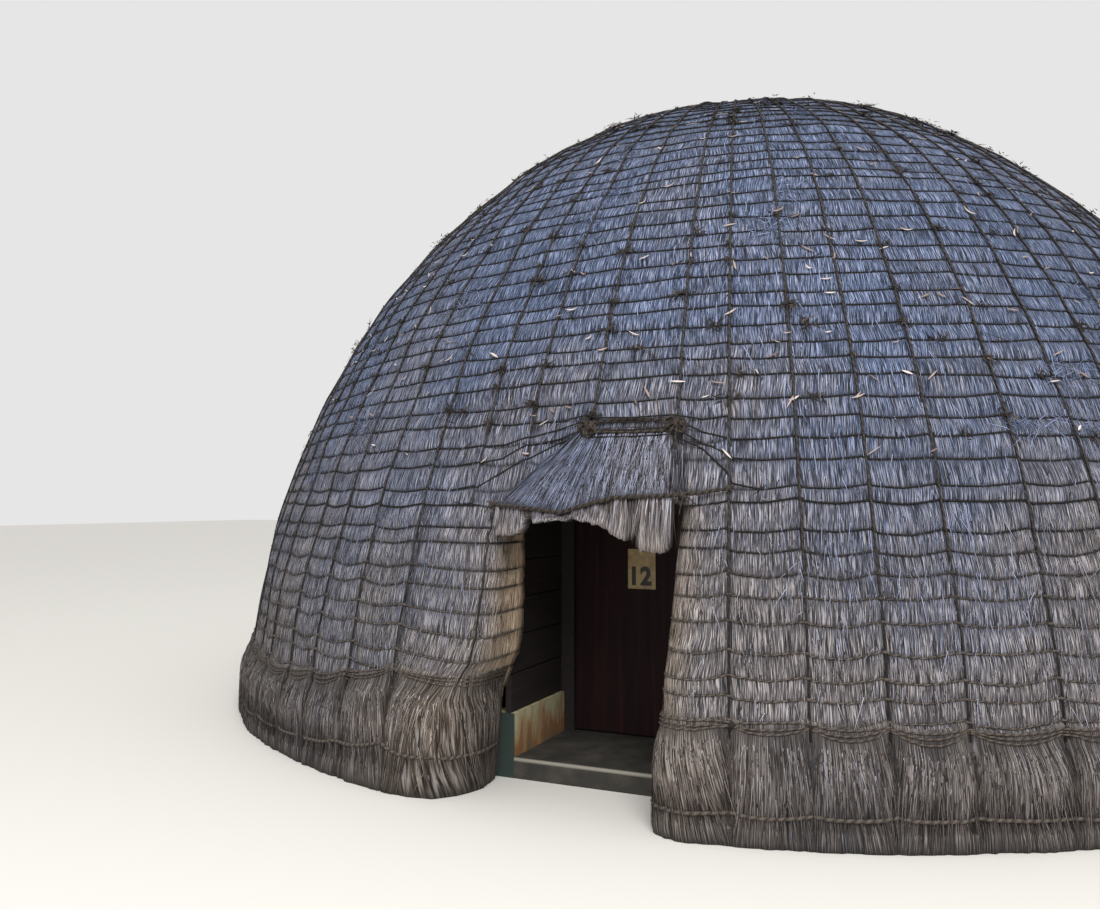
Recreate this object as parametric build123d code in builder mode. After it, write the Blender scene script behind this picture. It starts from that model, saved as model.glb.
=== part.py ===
from build123d import *
from math import acos, asin, cos, degrees, radians, sin, tan
import os

# A thatched beehive hut: a grass dome under a net of ropes, with a lined passage to its door.
# Millimetres, +Z up. The origin is on the ground under the top of the dome.
# The doorway faces -Y. The dome has flat bays, numbered from the doorway towards +X.

# Dome
bay_count = 24
door_bays = 3               # bays taken by the doorway and its jambs
stretch_bays = 3            # bays in one stretch of the wall or the shoulder
dome_radius = 4480          # outer thatch at the ground
dome_height = 5250
thatch_thickness = 240
height_power = 1.82         # how the outline bends in towards the top
radius_power = 2.03
door_head = 1650            # top of the lowest tier and of the doorway
shoulder_top = 3900         # top of the middle tier
cap_radius = 450            # flat middle of the crown
wall_steps = 2              # flat rows in each tier above the skirt
shoulder_steps = 5
crown_steps = 5
cap_rise = 25
cap_flat = 150              # radius of the cap's level top

# Skirt of coarse grass round the foot
skirt_top = 580
skirt_foot = 85             # how far its foot stands out from the dome
skirt_lip = 35
skirt_back_bays = 5         # bays of its back stretch

# Ropes
hoop_rope = 22
hoop_shares = (0.25, 0.75)  # hoops on each flat row, as shares of its width
rope_top_share = 0.6        # width of a rope's flat top, as a share of its foot
meridian_rope = 26
band_rope = 26
band_middle = 500           # height of the middle rope of the skirt's band
band_pitch = 40
ground_rope_height = 150
head_rope = 38
crown_ring_width = 60
knot_size = 90
seat = 0.3                  # gap left where one piece is laid on another

# Doorway in the thatch
throat_right = (570, 630)   # from the middle to each side, at the ground and at the head
throat_left = (600, 440)
jamb_rounding = 230
jamb_turns = range(0, 91, 15)   # the rounding is a few flats, as the dome is
return_width = 250          # thatch beside the passage
rope_setback = 290          # ropes stop this far beside the throat's foot

# Hood of loose grass over the doorway, and the fringe that hangs from it
hood_top = 2050
hood_bulge = 75
hood_lip = 18
hood_belly_share = 0.4      # height of its fullest line
hood_left = 430             # reach at its foot, left and right of the middle
hood_right = 640
hood_top_left = 60
hood_top_right = 610
gather_share = 0.8          # place of the rope that gathers its top
foot_rope_share = 0.15      # place of the rope at its foot
fringe_thickness = 110
fringe_left_height = 180    # how far it hangs at its left end, crest and right end
fringe_crest_height = 100
fringe_right_height = 265
fringe_crest_place = -60
fringe_right_width = 200
fringe_side_gap = 12

# Passage and floor
floor_thickness = 120
passage_width = 1000
passage_inset = 630         # from the dome's foot to the front of the passage
passage_depth = 750
plinth_height = 260
plinth_thickness = 140
board_thickness = 36
board_setback = 20          # boards stand back from the plinth's face
board_height = 228          # one board
board_groove = 5
ceiling_height = 1750
ceiling_thickness = 25

# Door
frame_depth = 84
post_width = 70
stop_width = 22
stop_depth = 36
door_thickness = 42
door_gap = 5
door_foot_gap = 12
door_frame_head = 1600
hinge_radius = 8
hinge_pin_radius = 4
hinge_pin_gap = 0.4
hinge_length = 90
hinge_plate = 3
hinge_width = 34
hinge_inset = 190           # hinge middle to the end of the leaf
knuckle_gap = 0.6
hinge_web_gap = 1           # from the web to the pin
handle_height = 1050
handle_length = 160
handle_width = 12
handle_stand = 36
handle_inset = 70

# Number plate on the door
plate_width = 190
plate_height = 260
plate_thickness = 6
plate_place = 40            # right of the door's middle
plate_middle = 1210

# Frame of bent poles inside the thatch
rib_pole = 38
hoop_pole = 32
rib_bays = range(1, bay_count, 2)
hoop_place = 0.5            # place of an inner hoop on its flat row
hoop_rows = 2               # flat rows from one inner hoop to the next

half_bay = 180 / bay_count
reach = 2 * dome_radius     # longer than any cut needs
passage_front = dome_radius - passage_inset
bay_slope = tan(radians(half_bay))
front = Plane(origin=(0, 0, 0), x_dir=(0, -1, 0), z_dir=(-1, 0, 0))
floor_top = floor_thickness


# Outline of a dome: radius and height at an angle that runs from 0 at the ground to 90 on top.
def dome_point(radius, height, angle):
    across = radius * cos(radians(angle)) ** (2 / radius_power)
    up = height * sin(radians(angle)) ** (2 / height_power)
    return (across, up)


def angle_at_height(height, level):
    return degrees(asin((level / height) ** (height_power / 2)))


def angle_at_radius(radius, across):
    return degrees(acos((across / radius) ** (radius_power / 2)))


def dome_run(radius, height, start, end, steps):
    return [dome_point(radius, height, start + (end - start) * i / steps) for i in range(steps + 1)]


# Points of the outer and inner faces of a tier, from its foot up.
def outer_run(low, high, steps):
    start = angle_at_height(dome_height, low)
    end = angle_at_height(dome_height, high)
    return dome_run(dome_radius, dome_height, start, end, steps)


inner_radius = dome_radius - thatch_thickness
inner_height = dome_height - thatch_thickness


def inner_run(low, high, steps):
    start = angle_at_height(inner_height, low)
    end = angle_at_height(inner_height, high)
    return dome_run(inner_radius, inner_height, start, end, steps)


# Radius of a flat-rowed face at a height.
def face_radius(face, level):
    for low, high in zip(face, face[1:]):
        if low[1] <= level <= high[1]:
            return low[0] + (high[0] - low[0]) * (level - low[1]) / (high[1] - low[1])


# A line of points moved sideways: outward for a positive distance.
def moved_run(points, distance):
    moved = []
    for i, (across, up) in enumerate(points):
        before = points[max(i - 1, 0)]
        after = points[min(i + 1, len(points) - 1)]
        first = Vector(across - before[0], up - before[1]) if i > 0 else None
        second = Vector(after[0] - across, after[1] - up) if i < len(points) - 1 else None
        first = (first or second).normalized()
        second = (second or first).normalized()
        middle = Vector(first.Y + second.Y, -first.X - second.X).normalized()
        stretch = distance / (middle.X * first.Y - middle.Y * first.X)
        moved.append((across + middle.X * stretch, up + middle.Y * stretch))
    return moved


# One flat bay of a ring: its section is drawn in the middle of the bay as (radius, height).
def bay(section):
    with BuildPart() as piece:
        with BuildSketch(front):
            with BuildLine():
                Polyline(*section, close=True)
            make_face()
        extrude(amount=reach * bay_slope, both=True)
        with BuildSketch():
            with BuildLine():
                Polyline((0, 0), (reach * bay_slope, -reach), (-reach * bay_slope, -reach), close=True)
            make_face()
        extrude(amount=2 * dome_height, mode=Mode.INTERSECT)
    return piece.part


# Several neighbouring bays of one section, joined.
def bays(section, numbers):
    one = bay(section)
    with BuildPart() as ring:
        add([one.rotate(Axis.Z, number * 2 * half_bay) for number in numbers])
    return ring.part


def save(piece, name):
    piece.label = name
    export_step(piece, f"parts/{name}.step")


os.makedirs("parts", exist_ok=True)

# Outer faces of the three tiers
foot_face = outer_run(0, skirt_top, 1)
wall_face = outer_run(skirt_top, door_head, wall_steps)
shoulder_face = outer_run(door_head, shoulder_top, shoulder_steps)
crown_face = dome_run(dome_radius, dome_height, angle_at_height(dome_height, shoulder_top),
                      angle_at_radius(dome_radius, cap_radius), crown_steps)
crown_inside = dome_run(inner_radius, inner_height, angle_at_height(inner_height, shoulder_top),
                        angle_at_radius(inner_radius, cap_radius), crown_steps)
wall_inside = inner_run(0, door_head, wall_steps + 1)
shoulder_inside = inner_run(door_head, shoulder_top, shoulder_steps)

wall_section = foot_face + wall_face[1:] + wall_inside[::-1]
shoulder_section = shoulder_face + shoulder_inside[::-1]
crown_section = crown_face + crown_inside[::-1]

# Thatch wall: seven stretches of three bays between the jambs of the doorway
for index in range((bay_count - door_bays) // stretch_bays):
    first_bay = door_bays // 2 + 1 + index * stretch_bays
    save(bays(wall_section, range(first_bay, first_bay + stretch_bays)), f"thatch_wall_{index + 1}")

# Thatch shoulder: eight stretches, the first one over the doorway
for index in range(bay_count // stretch_bays):
    first_bay = index * stretch_bays - stretch_bays // 2
    save(bays(shoulder_section, range(first_bay, first_bay + stretch_bays)), f"thatch_shoulder_{index + 1}")

# Thatch crown and the flat cap that closes it
save(bays(crown_section, range(bay_count)), "thatch_crown")

cap_foot = crown_inside[-1][1]
cap_edge = crown_face[-1][1]
cap_top = cap_edge + cap_rise
cap_section = [(0, cap_foot), (cap_radius, cap_foot), (cap_radius, cap_edge), (cap_flat, cap_top), (0, cap_top)]
save(bays(cap_section, range(bay_count)), "thatch_cap")

# Jambs: the bay beside the doorway, with its thick return beside the passage. Each is drawn as the right
# one, between a foot and a head that give the lean of its throat, and the left one is mirrored after.
lean = (wall_face[-1][0] - foot_face[0][0]) / door_head
foot_out = dome_radius + skirt_foot
return_inside = passage_front - return_width
return_section = foot_face + wall_face[1:] + [(return_inside, door_head), (return_inside, 0)]


# All that lies inside the throat, and what rounds off the outer corner.
def throat_cut(foot, head):
    slant = (head - foot) / door_head
    rounding = [(foot + jamb_rounding * (1 - cos(radians(turn))),
                 -foot_out + jamb_rounding * (1 - sin(radians(turn)))) for turn in jamb_turns]
    with BuildPart() as cut:
        with BuildSketch():
            with Locations((foot - reach / 2, -reach / 2)):
                Rectangle(reach, reach)
        extrude(amount=dome_height, dir=(slant, 0, 1))
        with BuildSketch():
            with BuildLine():
                Polyline(*rounding, (rounding[-1][0], -reach), (0, -reach), (0, rounding[0][1]), close=True)
            make_face()
        extrude(amount=dome_height, dir=(slant, -lean, 1))
    return cut.part


def jamb(foot, head):
    with BuildPart() as thatch_return:
        add(bays(return_section, (0, 1)))
        with BuildSketch():
            with Locations((foot + return_width / 2, -passage_front - reach / 2)):
                Rectangle(return_width, reach)
        extrude(amount=dome_height, dir=((head - foot) / door_head, 0, 1), mode=Mode.INTERSECT)
    with BuildPart() as side:
        add(bays(wall_section, (0, 1)))
        add(thatch_return.part)
        add(throat_cut(foot, head), mode=Mode.SUBTRACT)
    return side.part


thatch_jamb_right = jamb(*throat_right)
save(thatch_jamb_right, "thatch_jamb_right")
thatch_jamb_left = mirror(jamb(*throat_left), about=Plane.YZ)
save(thatch_jamb_left, "thatch_jamb_left")

# Skirt of coarse grass, seated on the wall's lowest row
skirt_face = [(dome_radius + skirt_foot, 0), (foot_face[1][0] + skirt_lip, skirt_top)]
skirt_section = skirt_face + moved_run(foot_face, seat)[::-1]
skirt_section[2] = (skirt_section[2][0], skirt_top)
skirt_section[3] = (skirt_section[3][0], 0)
side_bays = (bay_count - skirt_back_bays) // 2


def skirt_side(foot, head):
    with BuildPart() as side:
        add(bays(skirt_section, range(0, side_bays + 1)))
        add(throat_cut(foot, head), mode=Mode.SUBTRACT)
    return side.part


save(skirt_side(*throat_right), "skirt_right")
save(mirror(skirt_side(*throat_left), about=Plane.YZ), "skirt_left")
save(bays(skirt_section, range(side_bays + 1, bay_count - side_bays)), "skirt_back")


# Section of a rope laid along a ring: its middle is a share of the way up a straight run.
def rope_section(low, high, share, width, rise):
    line = Vector(high[0] - low[0], high[1] - low[1])
    along = line.normalized()
    outward = Vector(along.Y, -along.X)
    middle = Vector(*low) + line * share
    corners = [(-1, 0), (-rope_top_share, 1), (rope_top_share, 1), (1, 0)]
    spots = [middle + along * (width / 2 * side) + outward * (seat + (rise - seat) * out)
             for side, out in corners]
    return [(spot.X, spot.Y) for spot in spots]


# Ropes that ring the hut below the door head stop beside the doorway.
def open_ring(section):
    with BuildPart() as ring:
        add(bays(section, range(1, bay_count)))
        with BuildSketch():
            with Locations((0, -reach / 2)):
                Rectangle(2 * (max(throat_left + throat_right) + rope_setback), reach)
        extrude(amount=dome_height, mode=Mode.SUBTRACT)
    return ring.part


# Hoop ropes on the flat rows of a face
def hoop_sections(face):
    return [rope_section(low, high, share, hoop_rope, hoop_rope)
            for low, high in zip(face, face[1:]) for share in hoop_shares]


with BuildPart() as wall_hoop_ropes:
    add([open_ring(section) for section in hoop_sections(wall_face)])
save(wall_hoop_ropes.part, "wall_hoop_ropes")

with BuildPart() as shoulder_hoop_ropes:
    add([bays(section, range(bay_count)) for section in hoop_sections(shoulder_face[1:])])
save(shoulder_hoop_ropes.part, "shoulder_hoop_ropes")

with BuildPart() as crown_hoop_ropes:
    add([bays(section, range(bay_count)) for section in hoop_sections(crown_face)])
save(crown_hoop_ropes.part, "crown_hoop_ropes")

# Three ropes that bind the top of the skirt, and the rope near its foot
with BuildPart() as skirt_band:
    shares = [(band_middle + step * band_pitch) / skirt_top for step in (-1, 0, 1)]
    add([open_ring(rope_section(skirt_face[0], skirt_face[1], share, band_rope, band_rope))
         for share in shares])
save(skirt_band.part, "skirt_band")

foot_share = ground_rope_height / skirt_top
save(open_ring(rope_section(skirt_face[0], skirt_face[1], foot_share, band_rope, band_rope)), "foot_rope")


# Meridian ropes lie over the hoops on the corners between the bays.
def meridian(face, low_cut):
    inner_line = moved_run(face, hoop_rope + seat)
    outer_line = moved_run(face, hoop_rope + meridian_rope)
    corner = 1 / cos(radians(half_bay))
    section = [(across * corner, up) for across, up in inner_line + outer_line[::-1]]
    with BuildPart() as rope:
        with BuildSketch(front):
            with BuildLine():
                Polyline(*section, close=True)
            make_face()
        extrude(amount=meridian_rope / 2, both=True)
        with BuildSketch(Plane.XY.offset(low_cut)):
            Rectangle(2 * reach, 2 * reach)
        extrude(amount=dome_height, mode=Mode.INTERSECT)
    return rope.part


long_face = wall_face + shoulder_face[1:] + crown_face[1:]
long_rope = meridian(long_face, skirt_top + seat)
short_rope = meridian(long_face, hood_top + knot_size / 2)

with BuildPart() as meridian_ropes:
    add([long_rope.rotate(Axis.Z, (2 * number + 1) * half_bay) for number in range(1, bay_count - 1)])
save(meridian_ropes.part, "meridian_ropes")

with BuildPart() as door_meridian_ropes:
    add([short_rope.rotate(Axis.Z, side * half_bay) for side in (-1, 1)])
save(door_meridian_ropes.part, "door_meridian_ropes")

# Rope ring on the cap, where the meridian ropes are made fast
with BuildPart() as crown_ring:
    with BuildSketch(Plane.XY.offset(cap_top + seat)):
        RegularPolygon(cap_flat, bay_count, rotation=half_bay)
        RegularPolygon(cap_flat - crown_ring_width, bay_count, rotation=half_bay, mode=Mode.SUBTRACT)
    extrude(amount=meridian_rope)
save(crown_ring.part, "crown_ring")

# Hood of loose grass over the doorway, seated on the lowest row of the shoulder
row_low, row_high = shoulder_face[0], shoulder_face[1]
row_slope = (row_high[0] - row_low[0]) / (row_high[1] - row_low[1])


def row_radius(level):
    return row_low[0] + row_slope * (level - row_low[1])


hood_belly = door_head + (hood_top - door_head) * hood_belly_share
with BuildPart() as door_hood:
    with BuildSketch(front):
        with BuildLine():
            Polyline((row_radius(door_head) + seat, door_head), (row_radius(door_head) + hood_bulge, door_head),
                     (row_radius(hood_belly) + hood_bulge, hood_belly),
                     (row_radius(hood_top) + hood_lip, hood_top), (row_radius(hood_top) + seat, hood_top),
                     close=True)
        make_face()
    extrude(amount=reach, both=True)
    with BuildSketch(Plane.XZ):
        with BuildLine():
            Polyline((-hood_left, door_head), (hood_right, door_head), (hood_top_right, hood_top),
                     (hood_top_left, hood_top), close=True)
        make_face()
    extrude(amount=reach, mode=Mode.INTERSECT)
save(door_hood.part, "door_hood")

# Fringe that hangs under the hood, cut to an uneven arch
fringe_left = -(throat_left[1] - fringe_side_gap)
fringe_right = throat_right[0] - fringe_side_gap
fringe_out = row_radius(door_head) + hood_bulge
fringe_foot = door_head - fringe_right_height
fringe_drop = row_slope * -fringe_right_height
with BuildPart() as door_fringe:
    with BuildSketch(front):
        with BuildLine():
            Polyline((fringe_out, door_head - seat), (fringe_out - fringe_thickness, door_head - seat),
                     (fringe_out - fringe_thickness + fringe_drop, fringe_foot),
                     (fringe_out + fringe_drop, fringe_foot), close=True)
        make_face()
    extrude(amount=reach, both=True)
    with BuildSketch(Plane.XZ):
        with BuildLine():
            left_foot = (fringe_left, door_head - fringe_left_height)
            crest = (fringe_crest_place, door_head - fringe_crest_height)
            right_foot = (fringe_right - fringe_right_width, fringe_foot)
            left_arc = TangentArc(crest, left_foot, tangent=(-1, 0))
            right_arc = TangentArc(crest, right_foot, tangent=(1, 0))
            Polyline(right_foot, (fringe_right, fringe_foot), (fringe_right, door_head),
                     (fringe_left, door_head), left_foot)
        make_face()
    extrude(amount=reach, mode=Mode.INTERSECT)
save(door_fringe.part, "door_fringe")

# Ropes of the hood, laid on its face: one at its foot, and one between two knots that gathers its top
belly_low = (row_radius(door_head) + hood_bulge, door_head)
belly_high = (row_radius(hood_belly) + hood_bulge, hood_belly)
hood_high = (row_radius(hood_top) + hood_lip, hood_top)


def rope_across(section, left, right):
    with BuildPart() as rope:
        with BuildSketch(front):
            with BuildLine():
                Polyline(*section, close=True)
            make_face()
        extrude(amount=(right - left) / 2, both=True)
    return rope.part.moved(Location(((left + right) / 2, 0, 0)))


gather_section = rope_section(belly_high, hood_high, gather_share, head_rope, head_rope)
knot_section = rope_section(belly_high, hood_high, gather_share, knot_size, knot_size / 2)
with BuildPart() as head_ropes:
    add([rope_across(rope_section(belly_low, belly_high, foot_rope_share, head_rope, head_rope),
                     -hood_left, hood_right),
         rope_across(gather_section, hood_top_left, hood_top_right),
         rope_across(knot_section, hood_top_left, hood_top_left + knot_size),
         rope_across(knot_section, hood_top_right - knot_size, hood_top_right)])
save(head_ropes.part, "head_ropes")

# Floor: the hut's own slab, open under the thatch returns and the passage
floor_radius = face_radius(wall_inside, floor_top) - seat
with BuildPart() as floor_slab:
    with BuildSketch():
        RegularPolygon(floor_radius, bay_count, major_radius=False, rotation=half_bay)
        with Locations((0, -passage_front - reach / 2)):
            Rectangle(2 * (max(throat_left + throat_right) + return_width), reach, mode=Mode.SUBTRACT)
        with Locations((0, -passage_front + passage_depth / 2 - reach / 2 + frame_depth / 2)):
            Rectangle(passage_width + 2 * plinth_thickness, passage_depth + frame_depth + reach,
                      mode=Mode.SUBTRACT)
    extrude(amount=floor_thickness)
save(floor_slab.part, "floor_slab")

# Threshold slab between the plinths
passage_back = passage_front - passage_depth - frame_depth
with BuildPart() as threshold_slab:
    with BuildSketch():
        with Locations((0, -(passage_front + passage_back) / 2)):
            Rectangle(passage_width, passage_front - passage_back)
    extrude(amount=floor_thickness)
save(threshold_slab.part, "threshold_slab")

# Plinths and board walls of the passage
plinth_top = floor_top + plinth_height
board_inside = passage_width / 2 + board_setback
passage_middle = -(passage_front + passage_back) / 2
frame_back = passage_back
frame_front = frame_back + frame_depth
with BuildPart() as plinth_right:
    with BuildSketch():
        with Locations((passage_width / 2 + plinth_thickness / 2, passage_middle)):
            Rectangle(plinth_thickness, passage_front - passage_back)
    extrude(amount=plinth_top)
    with BuildSketch():
        with Locations((board_inside / 2, -passage_back)):
            Rectangle(board_inside, 2 * frame_depth)
    extrude(amount=dome_height, mode=Mode.SUBTRACT)
save(plinth_right.part, "plinth_right")

with BuildPart() as plinth_left:
    mirror(plinth_right.part, about=Plane.YZ)
save(plinth_left.part, "plinth_left")

board_seams = (ceiling_height - plinth_top) // board_height
with BuildPart() as board_wall_right:
    with BuildSketch(Plane.XY.offset(plinth_top)):
        with Locations((board_inside + board_thickness / 2, passage_middle)):
            Rectangle(board_thickness, passage_front - passage_back)
    extrude(amount=ceiling_height - plinth_top)
    with BuildSketch(Plane.XZ.offset(frame_front)):
        for seam in range(1, board_seams + 1):
            with Locations((board_inside, plinth_top + seam * board_height)):
                Rectangle(2 * board_groove, 2 * board_groove, rotation=45)
    extrude(amount=reach, mode=Mode.SUBTRACT)
save(board_wall_right.part, "board_wall_right")

with BuildPart() as board_wall_left:
    mirror(board_wall_right.part, about=Plane.YZ)
save(board_wall_left.part, "board_wall_left")

ceiling_half = board_inside + board_thickness
bay_turn = radians(2 * half_bay)
inside_there = face_radius(shoulder_inside, ceiling_height + ceiling_thickness)
ceiling_front = (inside_there - ceiling_half * sin(bay_turn)) / cos(bay_turn) - seat
with BuildPart() as passage_ceiling:
    with BuildSketch(Plane.XY.offset(ceiling_height)):
        with Locations((0, -(ceiling_front + passage_back) / 2)):
            Rectangle(2 * ceiling_half, ceiling_front - passage_back)
    extrude(amount=ceiling_thickness)
save(passage_ceiling.part, "passage_ceiling")

# Door frame between the boards: posts, head and the stop that the leaf closes on
post_inside = board_inside - post_width
with BuildPart() as door_frame:
    with BuildSketch(Plane.XZ.offset(frame_back)):
        with Locations((0, (floor_top + ceiling_height) / 2)):
            Rectangle(2 * board_inside, ceiling_height - floor_top)
        with Locations((0, (floor_top + door_frame_head) / 2)):
            Rectangle(2 * post_inside, door_frame_head - floor_top, mode=Mode.SUBTRACT)
    extrude(amount=frame_depth)
    with BuildSketch(Plane.XZ.offset(frame_front - stop_depth)):
        with Locations((0, (floor_top + door_frame_head) / 2)):
            Rectangle(2 * post_inside, door_frame_head - floor_top)
        with Locations((0, (floor_top + door_frame_head - stop_width) / 2)):
            Rectangle(2 * (post_inside - stop_width), door_frame_head - stop_width - floor_top,
                      mode=Mode.SUBTRACT)
    extrude(amount=stop_depth)
save(door_frame.part, "door_frame")

# Door leaf, flush with the inner face of its frame
leaf_half = post_inside - door_gap
leaf_foot = floor_top + door_foot_gap
leaf_top = door_frame_head - door_gap
leaf_front = frame_back + door_thickness
with BuildPart() as door_leaf:
    with BuildSketch(Plane.XZ.offset(frame_back)):
        with Locations((0, (leaf_foot + leaf_top) / 2)):
            Rectangle(2 * leaf_half, leaf_top - leaf_foot)
    extrude(amount=door_thickness)
save(door_leaf.part, "door_leaf")

# Two butt hinges on the left, inside the hut
pin_x = -(post_inside - door_gap / 2)
pin_y = -(frame_back - hinge_plate - hinge_radius)
knuckle = hinge_length / 3
web_depth = hinge_plate + hinge_radius - hinge_pin_radius - hinge_web_gap
hinge_levels = (leaf_foot + hinge_inset, leaf_top - hinge_inset)


def hinge_plate_at(level, side):
    with BuildPart() as plate:
        with BuildSketch(Plane.XZ.offset(frame_back - hinge_plate)):
            with Locations((pin_x + side * (hinge_width + door_gap) / 2, level)):
                Rectangle(hinge_width, hinge_length)
        extrude(amount=hinge_plate)
    return plate.part


def knuckle_at(foot, length, radius):
    with BuildPart() as barrel:
        with BuildSketch(Plane.XY.offset(foot)):
            with Locations((pin_x, pin_y)):
                Circle(radius)
        extrude(amount=length)
    return barrel.part


def knuckle_web(foot, length, side):
    with BuildPart() as web:
        with BuildSketch(Plane.XY.offset(foot)):
            with Locations((pin_x + side * (hinge_width + door_gap) / 4, -frame_back + web_depth / 2)):
                Rectangle((hinge_width + door_gap) / 2, web_depth)
        extrude(amount=length)
    return web.part


with BuildPart() as frame_hinges:
    for level in hinge_levels:
        add(hinge_plate_at(level, -1))
        for foot in (level - hinge_length / 2, level + knuckle / 2):
            add(knuckle_at(foot, knuckle, hinge_radius))
            add(knuckle_web(foot, knuckle, -1))
        add(knuckle_at(level - hinge_length / 2, hinge_length, hinge_pin_radius))
save(frame_hinges.part, "frame_hinges")

with BuildPart() as door_hinges:
    for level in hinge_levels:
        add(hinge_plate_at(level, 1))
        foot = level - knuckle / 2 + knuckle_gap
        length = knuckle - 2 * knuckle_gap
        add(knuckle_at(foot, length, hinge_radius))
        add(knuckle_web(foot, length, 1))
        add(knuckle_at(foot, length, hinge_pin_radius + hinge_pin_gap), mode=Mode.SUBTRACT)
save(door_hinges.part, "door_hinges")

# Pull handles on both faces of the leaf
handle_x = leaf_half - handle_inset
with BuildPart() as door_handles:
    for base, outward in ((leaf_front, 1), (frame_back, -1)):
        grip = base + outward * (handle_stand - handle_width / 2)
        for end in (-1, 1):
            with Locations((handle_x, -(base + grip) / 2, handle_height + end * (handle_length - handle_width) / 2)):
                Box(handle_width, abs(grip - base), handle_width)
        with Locations((handle_x, -grip, handle_height)):
            Box(handle_width, handle_width, handle_length)
save(door_handles.part, "door_handles")

# Number plate
with BuildPart() as number_plate:
    with BuildSketch(Plane.XZ.offset(leaf_front)):
        with Locations((plate_place, plate_middle)):
            Rectangle(plate_width, plate_height)
    extrude(amount=plate_thickness)
save(number_plate.part, "number_plate")

# Bent poles inside the thatch, upright ribs and the hoops tied inside them
inside_face = wall_inside + shoulder_inside[1:] + crown_inside[1:]
rib_outer = moved_run(inside_face, -seat)
rib_inner = moved_run(inside_face, -seat - rib_pole)
with BuildPart() as rib:
    with BuildSketch(front):
        with BuildLine():
            Polyline(*rib_outer, *rib_inner[::-1], close=True)
        make_face()
    extrude(amount=rib_pole / 2, both=True)
    with BuildSketch(Plane.XY.offset(floor_top)):
        Rectangle(2 * reach, 2 * reach)
    extrude(amount=dome_height, mode=Mode.INTERSECT)

with BuildPart() as frame_ribs:
    add([rib.part.rotate(Axis.Z, number * 2 * half_bay) for number in rib_bays])
save(frame_ribs.part, "frame_ribs")

hoop_face = moved_run(inside_face, -seat - rib_pole)


def inner_hoop(index, numbers):
    low, high = hoop_face[index], hoop_face[index + 1]
    return bays(rope_section(high, low, hoop_place, hoop_pole, hoop_pole), numbers)


wall_rows = len(wall_inside) - 1
with BuildPart() as frame_hoops:
    add([inner_hoop(1, range(2, bay_count - 1))]
        + [inner_hoop(index, range(bay_count)) for index in range(wall_rows, len(hoop_face) - 1, hoop_rows)])
save(frame_hoops.part, "frame_hoops")
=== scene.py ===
import math
import bpy
import numpy as np
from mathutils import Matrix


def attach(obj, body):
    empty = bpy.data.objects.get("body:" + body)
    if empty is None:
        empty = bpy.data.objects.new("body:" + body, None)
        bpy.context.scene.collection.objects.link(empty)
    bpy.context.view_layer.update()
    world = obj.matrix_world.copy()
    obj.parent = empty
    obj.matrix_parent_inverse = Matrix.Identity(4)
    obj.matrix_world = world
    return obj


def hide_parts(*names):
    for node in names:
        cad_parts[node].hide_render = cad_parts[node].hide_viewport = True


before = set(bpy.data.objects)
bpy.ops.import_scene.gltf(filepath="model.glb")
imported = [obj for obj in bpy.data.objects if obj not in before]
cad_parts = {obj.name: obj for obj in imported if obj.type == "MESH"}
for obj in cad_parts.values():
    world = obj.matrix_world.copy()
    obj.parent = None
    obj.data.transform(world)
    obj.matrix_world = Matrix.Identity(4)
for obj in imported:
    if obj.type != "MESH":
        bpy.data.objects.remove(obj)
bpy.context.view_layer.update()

# A thatched beehive hut. Metres, +Z up, the doorway faces -Y, angles run from the doorway towards +X.
chance = np.random.default_rng(41)
print("frame loaded")


def linear(code):
    # an sRGB hex colour turned linear
    parts = [int(code[i:i + 2], 16) / 255 for i in (1, 3, 5)]
    return [c / 12.92 if c <= 0.04045 else ((c + 0.055) / 1.055) ** 2.4 for c in parts] + [1]


def addNode(tree, kind, settings=None, feeds=None):
    # one node: settings go to its sockets or properties; a socket is fed by a node's output, given as
    # (node, output), or holds a hex colour or a number
    node = tree.nodes.new("ShaderNode" + kind)
    for name, value in (settings or {}).items():
        if name == "stops":
            while len(node.color_ramp.elements) < len(value):
                node.color_ramp.elements.new(1)
            for stop, (place, code) in zip(node.color_ramp.elements, value):
                stop.position, stop.color = place, linear(code)
        elif name in node.inputs:
            node.inputs[name].default_value = value
        else:
            setattr(node, name, value)
    for name, source in (feeds or {}).items():
        if isinstance(source, tuple):
            tree.links.new(source[0].outputs[source[1]], node.inputs[name])
        else:
            node.inputs[name].default_value = linear(source) if isinstance(source, str) else source
    return node


def ownSpace(tree):
    return addNode(tree, "TexCoord"), "Object"


def axis(tree, name):
    return addNode(tree, "SeparateXYZ", None, {0: ownSpace(tree)}), name


def attribute(tree, name):
    return addNode(tree, "Attribute", {"attribute_name": name}), "Fac"


def stretched(tree, chart, scale, shift=(0, 0, 0)):
    return addNode(tree, "Mapping", {"Location": shift, "Scale": scale}, {0: chart}), 0


def noise(tree, chart, scale, detail=2.0, roughness=0.5, kind="3D"):
    settings = {"noise_dimensions": kind, "Scale": scale, "Detail": detail, "Roughness": roughness}
    return addNode(tree, "TexNoise", settings, {"Vector": chart}), "Fac"


def combined(tree, operation, *terms, clamp=False):
    return addNode(tree, "Math", {"operation": operation, "use_clamp": clamp}, dict(enumerate(terms))), 0


def ranged(tree, source, low, high, toLow=0.0, toHigh=1.0, kind="LINEAR"):
    # a value mapped from one range onto another and held at its ends
    settings = {"interpolation_type": kind, "From Min": low, "From Max": high,
                "To Min": toLow, "To Max": toHigh}
    return addNode(tree, "MapRange", settings, {"Value": source}), 0


def ramp(tree, source, places, tones):
    return addNode(tree, "ValToRGB", {"stops": list(zip(places, tones))}, {0: source}), 0


def mix(tree, share, first, second, kind="MIX"):
    # two colours blended
    return addNode(tree, "Mix", {"data_type": "RGBA", "blend_type": kind}, {0: share, 6: first, 7: second}), 2


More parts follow.
